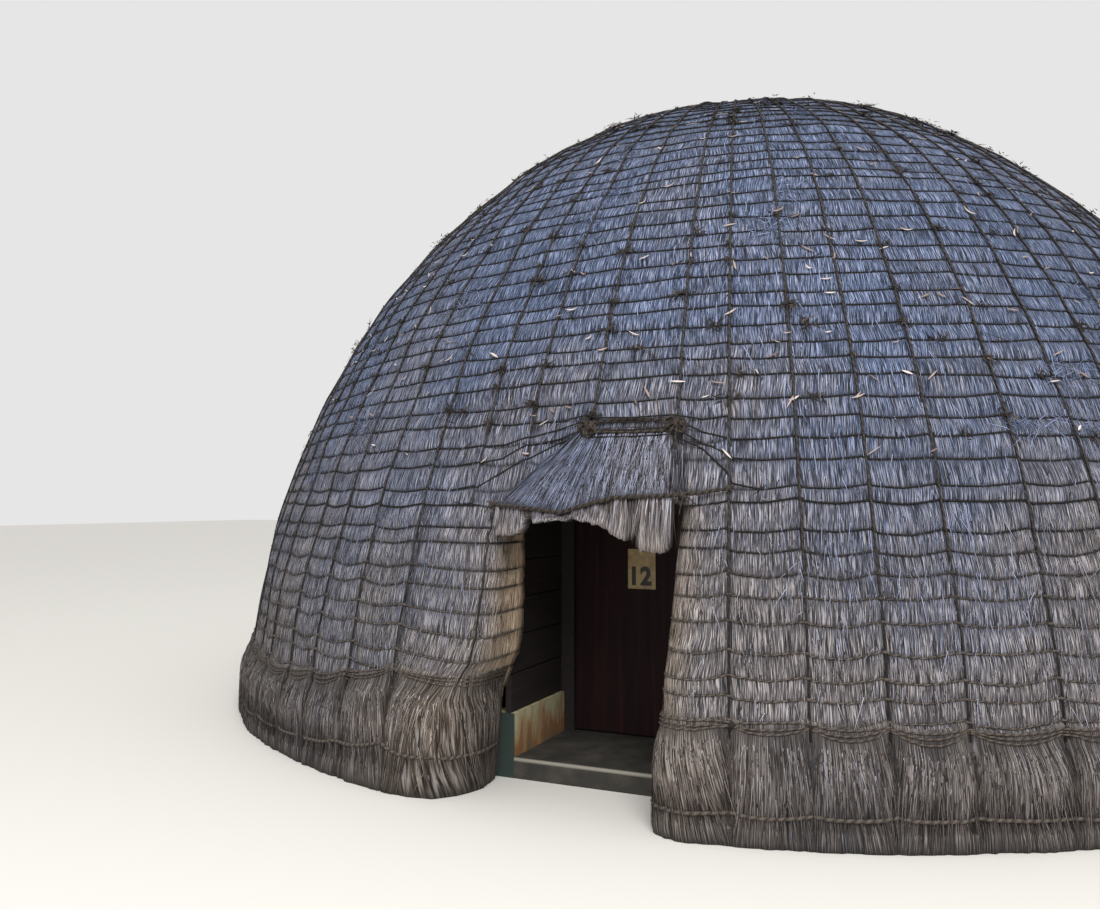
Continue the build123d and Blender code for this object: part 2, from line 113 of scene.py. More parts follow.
def mixNumbers(tree, share, first, second):
    return addNode(tree, "Mix", {"data_type": "FLOAT"}, {0: share, 2: first, 3: second}), 0


def bumps(tree, height, strength, depth):
    return addNode(tree, "Bump", {"Strength": strength, "Distance": depth}, {"Height": height}), 0


def newMaterial(name):
    material = bpy.data.materials.new(name)
    material.use_nodes = True
    tree = material.node_tree
    tree.nodes.clear()
    return material, tree


def finishMaterial(tree, tone, roughness, ior=1.5, normal=None, more=None):
    feeds = {"Base Color": tone, "Normal": normal} if normal else {"Base Color": tone}
    skin = addNode(tree, "BsdfPrincipled", {"Roughness": roughness, "IOR": ior, **(more or {})}, feeds)
    addNode(tree, "OutputMaterial", None, {"Surface": (skin, "BSDF")})


def noiseMaterial(name, grain, places, tones, roughness, ior=1.5, stretch=None, bump=None, more=None):
    # one colour ramp over noise in the object's own space: the grain is its scale, detail and roughness, a
    # bump its strength and depth
    material, tree = newMaterial(name)
    chart = stretched(tree, ownSpace(tree), stretch) if stretch else ownSpace(tree)
    cloud = noise(tree, chart, *grain)
    normal = bumps(tree, cloud, *bump) if bump else None
    finishMaterial(tree, ramp(tree, cloud, places, tones), roughness, ior, normal, more)
    return material


def newObject(name, data):
    thing = bpy.data.objects.new(name, data)
    bpy.context.scene.collection.objects.link(thing)
    return thing


def unit(vectors):
    return vectors / np.maximum(np.linalg.norm(vectors, axis=-1, keepdims=True), 1e-9)


def corners(field, wraps=False):
    # the four corner values of each quad of a grid, in the order in which its faces are wound
    if wraps:
        field = np.concatenate([field, field[:, :1]], 1)
    return np.stack([field[:-1, :-1], field[:-1, 1:], field[1:, 1:], field[1:, :-1]], -1)


def dropBetween(share):
    # a parabola: nothing at both ends of a stretch, 1 in its middle
    return 4 * share * (1 - share)


# Weathered thatching grass: dry stems combed downwards, greyed by sun and rain. The eye sees fine
# upright streaks, slate grey above and browner near the ground, with duller patches.
# the blue of the upper tones is partly painted light from the sky
grassLooks = {
    "places": (0.02, 0.30, 0.62, 1.0), "upper": ("#04060b", "#182235", "#3e4e6b", "#8f99b8"),
    "lower": ("#0b090a", "#2f2c2e", "#5c5759", "#aea6a3"),
    # the fresh tones are paler than the cut straw alone: partly painted light for the lit left jamb
    "fresh": ("#30251b", "#9c8469", "#d8bd9c", "#f6e8d4"),
    "lowerLevel": 0.4, "upperLevel": 3.5, "hueShare": 1.1,
    "stemWidth": 0.0042, "stemLength": 0.15,    # real stems are 2 to 3 mm, too fine to show here
    "strandWidth": 0.010, "strandLength": 0.20, "strandShare": 0.18,
    "bunchWidth": 0.05, "bunchLength": 0.40, "bunchShare": 0.06,
    "waver": 0.016, "waverScale": 2.5,           # stems don't lie quite alongside one another
    "roughness": 0.88, "ior": 1.45,
}


def weatheredAndSkylit(tree, streak, hue):
    # grass colour of a streak value: slate above, its blue partly painted light from the sky, brown below,
    # fresh where the "fresh" attribute says; a hue value round one half makes single strands browner or bluer
    # than their neighbours
    look, hueShare = grassLooks, grassLooks["hueShare"]
    height = ranged(tree, axis(tree, "Z"), look["lowerLevel"], look["upperLevel"], kind="SMOOTHSTEP")
    patch = ranged(tree, noise(tree, ownSpace(tree), 0.8, 3.0, 0.6), 0.38, 0.66, 0.22, -0.30)
    ownHue = combined(tree, "MULTIPLY_ADD", hue, hueShare, -hueShare / 2)
    share = combined(tree, "ADD", combined(tree, "ADD", height, patch), ownHue, clamp=True)
    upper, lower, fresh = [ramp(tree, streak, look["places"], look[part])
                           for part in ("upper", "lower", "fresh")]
    return mix(tree, attribute(tree, "fresh"), mix(tree, share, lower, upper), fresh)


def combedGrass(name):
    # the thatch's own face: streaks along the map's second axis, darkened by painted shade under the ropes,
    # in seams and in hollows
    material, tree = newMaterial(name)
    look = grassLooks
    chart = (addNode(tree, "UVMap", {"uv_map": "grassMap"}), 0)
    waver = noise(tree, chart, look["waverScale"], 1.0, kind="2D")
    aside = addNode(tree, "CombineXYZ", None, {"X": ranged(tree, waver, 0, 1, -look["waver"], look["waver"])})
    laid = (addNode(tree, "VectorMath", {"operation": "ADD"}, {0: chart, 1: (aside, 0)}), 0)
    finer = {size: (1 / look[size + "Width"], 1 / look[size + "Length"], 1)
             for size in ("stem", "strand", "bunch")}
    stem, strand, bunch = [noise(tree, stretched(tree, laid, finer[size]), 1.0, detail, 0.75, "2D")
                           for size, detail in (("stem", 2.0), ("strand", 2.0), ("bunch", 1.0))]
    streak = mixNumbers(tree, look["bunchShare"], mixNumbers(tree, look["strandShare"], stem, strand), bunch)
    hue = noise(tree, stretched(tree, laid, finer["strand"], (3.7, 1.3, 0)), 1.0, 1.0, kind="2D")
    tone = weatheredAndSkylit(tree, ranged(tree, streak, 0.36, 0.63), hue)
    # painted shade: 0 leaves the tone as it is, 1 darkens it to about a quarter
    pressed = ranged(tree, attribute(tree, "pressed"), 0.0, 1.0, 1.0, 0.26)
    cellShade = ranged(tree, noise(tree, chart, 1.7, 0.0, kind="2D"), 0.3, 0.7, 0.90, 1.08)
    darker = mix(tree, 1.0, tone, combined(tree, "MULTIPLY", pressed, cellShade), "MULTIPLY")
    finishMaterial(tree, darker, look["roughness"], look["ior"], bumps(tree, streak, 0.7, 0.006))
    return material


def looseGrass(name):
    # single stems: one tone each, from the "shade" attribute
    material, tree = newMaterial(name)
    shade = attribute(tree, "shade")
    finishMaterial(tree, weatheredAndSkylit(tree, shade, shade), grassLooks["roughness"], grassLooks["ior"])
    return material


# Hand-laid grass rope: two strands twisted together. Near the ground the hoops are pale and worn and the
# uprights lie dark in their seams; higher up, rain has blackened the hoops. The twist shows close by only.
ropeLooks = {
    "hoop": {"low": ("#1c1816", "#75695e"), "high": ("#090808", "#29241f")},
    "upright": {"low": ("#0f0d0c", "#2a2420"), "high": ("#131110", "#4e463f")},
    "band": {"low": ("#1c1815", "#6b6057"), "high": ("#0a0808", "#4e443b")},
    "lowLevel": 0.95, "highLevel": 1.5,
    "twistPitch": 0.045, "roughness": 0.9, "ior": 1.45,
}


def ropeMaterial(name, tones):
    material, tree = newMaterial(name)
    chart = (addNode(tree, "UVMap", {"uv_map": "ropeMap"}), 0)
    turned = stretched(tree, chart, (1, 1 / ropeLooks["twistPitch"], 1))
    axes = addNode(tree, "SeparateXYZ", None, {0: turned})
    lay = combined(tree, "MULTIPLY", combined(tree, "ADD", (axes, "X"), (axes, "Y")), 2 * math.pi)
    strand = combined(tree, "MULTIPLY_ADD", combined(tree, "SINE", lay), 0.15, noise(tree, turned, 9.0))
    share = ranged(tree, axis(tree, "Z"), ropeLooks["lowLevel"], ropeLooks["highLevel"])
    low, high = [ramp(tree, strand, (0.25, 0.85), tones[part]) for part in ("low", "high")]
    finishMaterial(tree, mix(tree, share, low, high), ropeLooks["roughness"], ropeLooks["ior"],
                   bumps(tree, strand, 0.8, 0.004))
    return material


thatchGrass = combedGrass("weathered thatch, combed")
looseStems = looseGrass("weathered thatch, loose stems")
hoopRopeSkin = ropeMaterial("grass rope, dark", ropeLooks["hoop"])
uprightRopeSkin = ropeMaterial("grass rope, brown", ropeLooks["upright"])
bandRopeSkin = ropeMaterial("grass rope, thick", ropeLooks["band"])
print("grass and rope materials")


# Slope of the dome: a rounded outline that stands steep at the ground and flat on top.
hut = {"radius": 4.48, "height": 5.25, "heightPower": 1.82, "radiusPower": 2.03, "thickness": 0.24,
       "chartRadius": 4.2}      # radius of the arc that hidden and inner faces are charted by
sweep = np.linspace(0, math.pi / 2, 4001)


def outline(radius, height):
    # radius times the cosine, height times the sine, each raised to 2 over its power
    across = radius * np.maximum(np.cos(sweep), 0) ** (2 / hut["radiusPower"])
    return across, height * np.sin(sweep) ** (2 / hut["heightPower"])


slopeAcross, slopeUp = outline(hut["radius"], hut["height"])
slopeRun = np.concatenate([[0], np.cumsum(np.hypot(np.diff(slopeAcross), np.diff(slopeUp)))])
slopeNormalAcross = np.gradient(slopeUp, slopeRun)
slopeNormalUp = -np.gradient(slopeAcross, slopeRun)
slopeLength = slopeRun[-1]
insideAcross, insideUp = outline(hut["radius"] - hut["thickness"], hut["height"] - hut["thickness"])


def runAt(level):
    return np.interp(level, slopeUp, slopeRun)


def acrossAt(run):
    return np.interp(run, slopeRun, slopeAcross)


def levelAt(run):
    return np.interp(run, slopeRun, slopeUp)


def turnedSpot(angle, across, up):
    # across metres from the middle, angle degrees round it, at a height
    turn = np.radians(angle)
    return np.stack(np.broadcast_arrays(across * np.sin(turn), -across * np.cos(turn), up), -1)


def fromDoorway(angle):
    # an angle counted both ways from the doorway
    return (angle + 180) % 360 - 180


def domePoint(angle, run, lift=0.0):
    # run metres up the slope, angle degrees round it, lift metres out along the slope's normal
    return turnedSpot(angle, acrossAt(run) + lift * np.interp(run, slopeRun, slopeNormalAcross),
                      levelAt(run) + lift * np.interp(run, slopeRun, slopeNormalUp))


# The net: ropes up the slope and hoops round it. Each hoop sags between two upright ropes and drops a
# little where it is hitched on.
net = {
    "uprights": [1.3, 8.2, 12.1, 17.05, 21.9, 26.8, 33.1], "uprightCount": 70, "uprightDrift": 0.45,
    "levels": [0.481, 0.584, 0.697, 0.785, 0.924, 1.044, 1.167, 1.296, 1.417, 1.523, 1.65, 1.741, 1.88, 1.999,
               2.121, 2.228, 2.347, 2.451, 2.558, 2.668, 2.772, 2.878, 2.988, 3.098, 3.209, 3.321, 3.425,
               3.547, 3.649, 3.748, 3.826, 3.915, 4.008, 4.107, 4.214, 4.312],
    "topHoops": 17, "topReach": 0.28, "shortBy": 6,      # hoops between the short uprights' ends and the top
    "drift": 0.012, "step": 0.012, "sagLow": 0.026, "sagHigh": 0.007, "sagLevels": (1.2, 2.4),
    "hoopRadius": 0.0050, "uprightRadius": 0.0068, "uprightFoot": 0.75, "ropeSides": 4,
    "doorHoop": 10,         # the hoop at the head of the doorway
    "doorAngle": 12.0,      # the wall's uprights begin this many degrees either side of the doorway
    "jambUpright": 10.6,    # columns from the wall's left end to the upright that lies on the left jamb
}
restCount = net["uprightCount"] - len(net["uprights"]) + 1
restStep = (360 + net["uprights"][0] - net["uprights"][-1]) / restCount
spread = net["uprights"][-1] + restStep * np.arange(1, restCount)
spread += chance.uniform(-net["uprightDrift"], net["uprightDrift"], len(spread))
uprights = np.concatenate([net["uprights"], spread])
uprightCount = len(uprights)
nextUprights = np.append(uprights[1:], uprights[0] + 360)
topRuns = np.linspace(runAt(net["levels"][-1]), slopeLength - net["topReach"], net["topHoops"] + 1)[1:]
hoopRuns = np.concatenate([runAt(np.array(net["levels"])), topRuns])
hoopCount = len(hoopRuns)
doorHoop = net["doorHoop"]
topHoop = len(net["levels"]) - 1

# how far each hoop strays at each upright: a slow wave round the hut plus a little of its own
wave = np.radians(uprights)[None, :] * chance.integers(1, 5, (hoopCount, 1))
wave = wave + chance.uniform(0, 6.3, (hoopCount, 1))
quiet = np.where(np.arange(hoopCount) > topHoop, 0.5, 1.0)[:, None]      # the close hoops on top stray less
hoopDrift = quiet * net["drift"] * (np.sin(wave) + chance.normal(0, 0.35, (hoopCount, uprightCount)))
hoopStep = quiet * net["step"] * chance.uniform(0.2, 1.8, (hoopCount, uprightCount))
sagHere = np.interp(hoopRuns, runAt(np.array(net["sagLevels"])), [net["sagLow"], net["sagHigh"]])[:, None]
hoopSag = quiet * sagHere * chance.uniform(0.4, 1.5, (hoopCount, uprightCount))


def hoopRun(hoop, cell, share):
    # height up the slope of a hoop, share of the way across a cell: straight between its two hitches,
    # less a sag that is a parabola
    after = (cell + 1) % uprightCount
    start = hoopDrift[hoop, cell] - np.where(share < 0.001, 0, hoopStep[hoop, cell] / 2)
    end = hoopDrift[hoop, after] + hoopStep[hoop, after] / 2
    return hoopRuns[hoop] + start * (1 - share) + end * share - hoopSag[hoop, cell] * dropBetween(share)


# Relief of the thatch between the ropes: it swells in each cell of the net and lies low under the ropes.
relief = {
    # by row, the third list is painted shade: darkest along the hoop below, light in the middle of a cell
    "rowShares": [0, 0.14, 0.5, 0.88], "rowSwell": [0, 0.9, 1.0, 0.75], "rowPaintedShade": [1.0, 0.10, 0.0, 0.20],
    "topShares": [0, 0.4], "topSwell": [0, 1.0],
    "columnShares": [0, 0.05, 0.25, 0.5, 0.75, 0.95], "columnSwell": [0.0, 0.75, 1.0, 1.0, 1.0, 0.75],
    "swellLow": 0.010, "swellHigh": 0.007, "swellLevels": (1.5, 4.5), "base": -0.010, "unevenness": 0.010,
    # around, up, phase and size of the sine waves of its slow hollows
    "waves": ((3, 1.1, 0.4, 1.0), (7, 2.3, 2.1, 0.7), (12, 1.7, 4.0, 0.6), (19, 4.1, 1.2, 0.5),
              (31, 3.2, 5.3, 0.35)),
    "slitPlace": 0.605, "slitWidth": 0.020, "slitTop": 1.98, "slitDepth": 0.05,
    "topReach": 1.2, "topLift": 0.004,      # round the top it stays this low, inside the CAD model's height
    "paleAbove": 4.7,                       # above this the close hoops get less painted shade
    "lean": 0.10,
}
columnShares = np.array(relief["columnShares"])
columnSwell = np.array(relief["columnSwell"])
cellSwell = chance.uniform(0.7, 1.3, (hoopCount, uprightCount))


def unevenness(angle, run):
    # slow hollows and swells: a sum of sine waves over the angle and the height up the slope
    turn = np.radians(angle)
    total = 0
    for around, up, phase, size in relief["waves"]:
        total = total + size * np.sin(around * turn + up * run + phase) * np.sin(up * 1.7 * run + 2 * phase)
    return relief["unevenness"] * total


def gridNormals(points, wraps):
    # cross product of the steps along the rows and along the columns
    if wraps:
        ends = np.concatenate([points[:, -1:], points, points[:, :1]], 1)
        across = ends[:, 2:] - ends[:, :-2]
    else:
        across = np.gradient(points, axis=1)
    return unit(np.cross(across, np.gradient(points, axis=0)))


def between(field, row, column, wraps):
    # a grid's value between its points, blended from the four round it
    rows, columns = field.shape[:2]
    row = np.clip(row, 0, rows - 1.001)
    if not wraps:
        column = np.clip(column, 0, columns - 1.001)
    low, left = np.floor(row).astype(int), np.floor(column).astype(int)
    upShare, rightShare = (row - low)[..., None], (column - left)[..., None]
    left, right = left % columns, (left + 1) % columns
    return ((field[low, left] * (1 - rightShare) + field[low, right] * rightShare) * (1 - upShare)
            + (field[low + 1, left] * (1 - rightShare) + field[low + 1, right] * rightShare) * upShare)


def spotOn(face, row, column, lift=0.0):
    # a spot on a face (its grid, its normals, whether it wraps), lift metres out, and the normal there
    grid, normals, wraps = face
    outward = between(normals, row, column, wraps)
    return between(grid, row, column, wraps) + outward * lift, outward


def makePiece(name, points, faceSets, material, slotName, chart=None, chartName="grassMap", values=None,
              smooth=True, body="hut"):
    # one mesh object from whole arrays; a chart gives one place per face corner, values one number per point
    mesh = bpy.data.meshes.new(name)
    order = np.concatenate([faces.ravel() for faces in faceSets]).astype(np.int32)
    sizes = np.concatenate([np.full(len(faces), faces.shape[1]) for faces in faceSets])
    mesh.vertices.add(len(points))
    mesh.loops.add(len(order))
    mesh.polygons.add(len(sizes))
    mesh.vertices.foreach_set("co", np.asarray(points, np.float32).ravel())
    mesh.loops.foreach_set("vertex_index", order)
    mesh.polygons.foreach_set("loop_start", np.concatenate([[0], np.cumsum(sizes)[:-1]]).astype(np.int32))
    mesh.update(calc_edges=True)
    if chart is not None:
        mesh.uv_layers.new(name=chartName).data.foreach_set("uv", np.asarray(chart, np.float32).ravel())
    for label, numbers in (values or {}).items():
        layer = mesh.attributes.new(label, "FLOAT", "POINT")
        layer.data.foreach_set("value", np.asarray(numbers, np.float32).ravel())
    mesh.polygons.foreach_set("use_smooth", np.full(len(sizes), smooth))
    mesh.materials.append(material)
    mesh.update()
    piece = newObject(name, mesh)
    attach(piece, body)
    return piece


def gridFaces(rows, columns, wraps, first=0, flip=False):
    # quads of a grid of points numbered row by row
    row = np.arange(rows - 1)[:, None]
    column = np.arange(columns if wraps else columns - 1)[None, :]
    after = (column + 1) % columns
    quads = np.stack(np.broadcast_arrays(row * columns + column, row * columns + after,
                                         (row + 1) * columns + after, (row + 1) * columns + column), -1)
    quads = quads.reshape(-1, 4) + first
    return quads[:, ::-1] if flip else quads


def rimFaces(outer, inner, wraps, flip=False):
    # quads between two lines of points
    here = np.arange(len(outer) if wraps else len(outer) - 1)
    after = (here + 1) % len(outer)
    quads = np.stack([outer[here], inner[here], inner[after], outer[after]], -1)
    return quads[:, ::-1] if flip else quads


def closedShell(outer, inner):
    # faces of a sheet with thickness: outer grid, inner grid, and the rims between them
    gridRows, gridColumns = outer.shape[:2]
    first = gridRows * gridColumns
    numbers = np.arange(first).reshape(gridRows, gridColumns)
    return np.concatenate([outer.reshape(-1, 3), inner.reshape(-1, 3)]), [
        gridFaces(gridRows, gridColumns, False), gridFaces(gridRows, gridColumns, False, first, True),
        rimFaces(numbers[0], numbers[0] + first, False),
        rimFaces(numbers[-1], numbers[-1] + first, False, True),
        rimFaces(numbers[:, 0], numbers[:, 0] + first, False, True),
        rimFaces(numbers[:, -1], numbers[:, -1] + first, False)]


def shellChart(across, along, points, faceSets):
    # a chart for every face corner: the outer face's own; on the rest the arc round the middle and the height
    rest = points[np.concatenate([faces.ravel() for faces in faceSets[1:]])]
    arc = np.arctan2(rest[:, 0], -rest[:, 1]) * hut["chartRadius"]
    return np.concatenate([np.stack([across, along], -1).reshape(-1, 2), np.stack([arc, rest[:, 2]], -1)])


def rowPlan(firstHoop, lastHoop):
    # hoop, share of the way to the next hoop, and swell, for each row of the grid
    plan = []
    for hoop in range(firstHoop, lastHoop):
        zone = "top" if hoop >= topHoop else "row"
        plan += [(hoop, *row) for row in zip(relief[zone + "Shares"], relief[zone + "Swell"])]
    plan.append((lastHoop, 0, 0))
    return [np.array(part) for part in zip(*plan)]


def runOfRows(hoop, share, cell, flow):
    # height up the slope of each row between its own hoop and the next one above
    above = np.minimum(hoop + 1, hoopCount - 1)
    return (hoopRun(hoop[:, None], cell, flow) * (1 - share[:, None])
            + hoopRun(above[:, None], cell, flow) * share[:, None])


# Upper dome: from the head of the doorway to the top, one closed shell.
rowHoop, rowShare, rowSwell = rowPlan(doorHoop, hoopCount - 1)
columnCell = np.repeat(np.arange(uprightCount), len(columnShares))
columnShare = np.tile(columnShares, uprightCount)
columnAngle = uprights[columnCell] + (nextUprights - uprights)[columnCell] * columnShare
domeRun = runOfRows(rowHoop, rowShare, columnCell, columnShare)
swellSize = np.interp(domeRun, runAt(np.array(relief["swellLevels"])),
                      [relief["swellLow"], relief["swellHigh"]])
wholeSwell = np.tile(columnSwell, uprightCount)
domeSwell = swellSize * (rowSwell[:, None] * wholeSwell) * cellSwell[rowHoop][:, columnCell]
domeLift = relief["base"] + domeSwell + unevenness(columnAngle, domeRun)
nearTop = domeRun > slopeLength - relief["topReach"]
domeLift = np.where(nearTop, np.minimum(domeLift, relief["topLift"]), domeLift)
# a slit beside the hood: the grass parts along one line below the right knot, and painted shade darkens it
columnTurn = np.radians(columnAngle)
slitAway = acrossAt(domeRun) * np.sin(columnTurn) - relief["slitPlace"]
slit = (np.exp(-(slitAway / relief["slitWidth"]) ** 2) * (np.cos(columnTurn) > 0)
        * np.clip((runAt(relief["slitTop"]) - domeRun) / 0.1, 0, 1))
domeGrid = domePoint(columnAngle, domeRun, domeLift - relief["slitDepth"] * slit)
domeFace = (domeGrid, gridNormals(domeGrid, True), True)
# painted shade: along the hoops, in the seams at the uprights and in the slit, less among the close hoops on
# top
ropeShade = np.interp(rowShare, relief["rowShares"], relief["rowPaintedShade"])[:, None]
domePaintedShade = (np.maximum(ropeShade, np.maximum(1 - wholeSwell * 1.25, 0))
               * np.where(domeRun > runAt(relief["paleAbove"]), 0.6, 1) + 1.3 * slit)
# where each row stands in whole hoops and each column in whole uprights
rowPlace, rowNumbers = rowHoop + rowShare, np.arange(len(rowHoop))
columnPlace, columnNumbers = columnCell + columnShare, np.arange(len(columnCell))


def insidePoint(angle, share, low):
    # the inner face, share of the way from its foot at a level to its top
    start = np.interp(low, insideUp, sweep)
    bend = start + (math.pi / 2 - start) * share
    return turnedSpot(angle, np.interp(bend, sweep, insideAcross), np.interp(bend, sweep, insideUp))


insideShares = np.linspace(0, 0.97, 12)
insideGrid = insidePoint(columnAngle[None, :], insideShares[:, None], net["levels"][doorHoop])
rows, columns = domeGrid.shape[:2]
insideRows = len(insideShares)
firstInside = rows * columns
poleOut = firstInside + insideRows * columns       # the last two points close the shell on top
domePoints = np.concatenate([domeGrid.reshape(-1, 3), insideGrid.reshape(-1, 3),
                             [[0, 0, hut["height"] - 0.002], [0, 0, hut["height"] - hut["thickness"]]]])
around = np.arange(columns)
topOut, topIn = (rows - 1) * columns + around, firstInside + (insideRows - 1) * columns + around
poleFaces = np.concatenate([np.stack([topOut, np.roll(topOut, -1), np.full(columns, poleOut)], -1),
                            np.stack([np.roll(topIn, -1), topIn, np.full(columns, poleOut + 1)], -1)])
domeFaces = [gridFaces(rows, columns, True), gridFaces(insideRows, columns, True, firstInside, True),
             rimFaces(around, firstInside + around, True), poleFaces]

# Stems' chart: across is the arc from the cell's own middle line, so that streaks run straight down between
# two uprights; along is the height up the slope. Each cell starts at a place of its own and leans a little.
quadCell, quadHoop = np.broadcast_arrays(columnCell[None], rowHoop[:-1, None])
cellMiddle = ((uprights + nextUprights)[quadCell] / 2)[..., None]
quadAngle = corners(np.broadcast_to(columnAngle, domeRun.shape), True)
quadRun = corners(domeRun, True)
cellLean = (relief["lean"] * np.sin(quadCell * 12.9 + quadHoop * 78.2))[..., None]
cellAcross = np.radians(fromDoorway(quadAngle - cellMiddle)) * acrossAt(quadRun) + cellLean * quadRun
cellShift = ((quadCell * 7.31 + quadHoop * 3.17) % 53)[..., None]
cellAlong = quadRun + (quadHoop * 5.7 % 11)[..., None]
domeChart = shellChart(cellAcross + cellShift, cellAlong, domePoints, domeFaces)
hidden = len(domePoints) - firstInside
# the hidden faces get a little painted shade all over
thatchDome = makePiece("thatchDome", domePoints, domeFaces, thatchGrass, "thatch", domeChart, values={
    "pressed": np.concatenate([domePaintedShade.ravel(), np.full(hidden, 0.2)]),
    "fresh": np.concatenate([np.zeros(firstInside), np.full(hidden, 0.55)])})
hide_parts("thatch_crown", "thatch_cap", *[f"thatch_shoulder_{i}" for i in range(1, 9)])
print("upper dome", len(domePoints))


# Wall: from the ground to the head of the doorway, with rounded jambs and thick returns beside the passage.
jambs = {
    # distance of each jamb's edge from the middle, at these heights: the thatch is cut by hand, not straight
    "levels": [0, 0.45, 0.6, 0.8, 1.05, 1.3, 1.65],
    "right": [0.542, 0.552, 0.558, 0.567, 0.580, 0.592, 0.602],
    "left": [0.610, 0.575, 0.528, 0.435, 0.424, 0.420, 0.418],
    "rightRounding": [0.20] * 7, "leftRounding": [0.34, 0.26, 0.18, 0.13, 0.13, 0.13, 0.13], "ragged": 0.006,
    "returnBack": 3.85, "returnWidth": 0.25, "returnFlare": 0.01,
    "returnColumns": 5, "roundColumns": 7, "sideColumns": 5, "footShares": [0, 0.5],
    "hoopShare": 0.6,       # the hoops reach the jambs at this share of a cell
    "swell": (0.8, 0.9), "angles": (10.5, 349.5), "arcRow": 20,      # row along which the arc is measured
    # how fresh the cut straw is: column by column from either end of the wall, and up its height; on the left
    # jamb's return it is pushed up further as painted light
    "leftFreshAndPaintedLight": ([0, 8, 10, 12, 13.5, 14.5, 16], [0.0, 0.10, 0.30, 0.55, 0.85, 1.0, 1.0]),
    "rightFresh": ([0, 6, 12], [0.5, 0.35, 0.0]), "freshUp": ([0, 0.3, 0.8], [0.1, 0.4, 1.0]),
}
wallHoop, wallShare, wallSwell = rowPlan(0, doorHoop)
footRows = len(jambs["footShares"])
# first upright right of the doorway and last one left of it
wallRight = int(np.searchsorted(uprights, net["doorAngle"]))
wallLeft = int(np.searchsorted(uprights, 360 - net["doorAngle"])) - 1
returnShare = np.linspace(0, 1, jambs["returnColumns"], endpoint=False)
roundTurn = np.linspace(0, math.pi / 2, jambs["roundColumns"], endpoint=False)
sideShare = np.linspace(0, 1, jambs["sideColumns"], endpoint=False)
jambCount = len(returnShare) + len(roundTurn)
sideCount = jambCount + len(sideShare)
middleCell = np.append(np.repeat(np.arange(wallRight, wallLeft), len(columnShares)), wallLeft)
middleShare = np.append(np.tile(columnShares, wallLeft - wallRight), 0.0)
middleAngle = uprights[middleCell] + (nextUprights - uprights)[middleCell] * middleShare
wallCell = np.concatenate([np.full(sideCount, wallRight - 1), middleCell, np.full(sideCount, wallLeft)])
flowShare = np.concatenate([np.full(jambCount, jambs["hoopShare"]),
                            jambs["hoopShare"] + (1 - jambs["hoopShare"]) * sideShare])
wallFlow = np.concatenate([flowShare, middleShare, 1 - flowShare[::-1]])
sideSwell = np.concatenate([np.linspace(*jambs["swell"], sideCount - 2), [1.0, 1.0]])
middleSwell = np.append(np.tile(columnSwell, wallLeft - wallRight), columnSwell[0])
wallColumnSwell = np.concatenate([sideSwell, middleSwell, sideSwell[::-1]])
wallRun = runOfRows(wallHoop, wallShare, wallCell, wallFlow)
wallRun = np.concatenate([wallRun[:1] * np.array(jambs["footShares"])[:, None], wallRun])
wallColumns = wallRun.shape[1]
rightEnd, leftStart = sideCount, wallColumns - sideCount
wallRowSwell = np.concatenate([np.ones(footRows), wallSwell])
wallCellSwell = np.concatenate([np.ones((footRows, wallColumns)), cellSwell[wallHoop][:, wallCell]])
wallAngle = np.concatenate([np.full(sideCount, jambs["angles"][0]), middleAngle,
                            np.full(sideCount, jambs["angles"][1])])
wallLift = (relief["base"] + relief["swellLow"] * wallRowSwell[:, None] * wallColumnSwell * wallCellSwell
            + unevenness(wallAngle, wallRun))


def atJamb(level, label):
    return np.interp(level, jambs["levels"], jambs[label])


def wallSide(run, lift, side, uprightAngle):
    # from the back end of the return out along its face, round the corner, and back along the dome to the
    # first upright: the rounding is a quarter circle laid on the dome's own curve
    level = levelAt(run)
    edge = atJamb(level[:, :1], side) + chance.uniform(-jambs["ragged"], jambs["ragged"], (len(run), 1))
    bend = atJamb(level[:, :1], side + "Rounding")
    radius = acrossAt(run) + lift
    returnX = edge + jambs["returnFlare"] * (1 - returnShare)
    startY = -np.sqrt(radius[:, :len(returnShare)] ** 2 - edge ** 2) + bend
    returnY = -jambs["returnBack"] + (startY + jambs["returnBack"]) * returnShare
    roundX = edge + bend * (1 - np.cos(roundTurn))
    roundRadius = radius[:, len(returnShare):jambCount]
    roundY = -np.sqrt(roundRadius ** 2 - roundX ** 2) + bend * (1 - np.sin(roundTurn))
    sideRadius = radius[:, jambCount:]
    cornerAngle = np.degrees(np.arcsin((edge + bend) / sideRadius[:, :1]))
    sideAngle = np.radians(cornerAngle + (uprightAngle - cornerAngle) * sideShare)
    x = np.concatenate([returnX, roundX, sideRadius * np.sin(sideAngle)], 1)
    y = np.concatenate([returnY, roundY, -sideRadius * np.cos(sideAngle)], 1)
    return np.stack([x, y, level], -1)


def wallInnerSide(run, side, uprightAngle):
    # partner of each column on the inner face: up the far side of the return, then along the inner dome
    level = levelAt(run)
    edge = atJamb(level[:, :1], side) + jambs["returnWidth"]
    inner = np.interp(level, insideUp, insideAcross)
    meet = -np.sqrt(inner[:, :1] ** 2 - edge ** 2)
    y = -jambs["returnBack"] + (meet + jambs["returnBack"]) * np.arange(jambCount) / jambCount
    start = np.degrees(np.arcsin(edge / inner[:, :1]))
    angle = np.radians(start + (uprightAngle - start) * sideShare)
    x = np.concatenate([np.broadcast_to(edge, y.shape), inner[:, jambCount:] * np.sin(angle)], 1)
    y = np.concatenate([y, -inner[:, jambCount:] * np.cos(angle)], 1)
    return np.stack([x, y, level], -1)


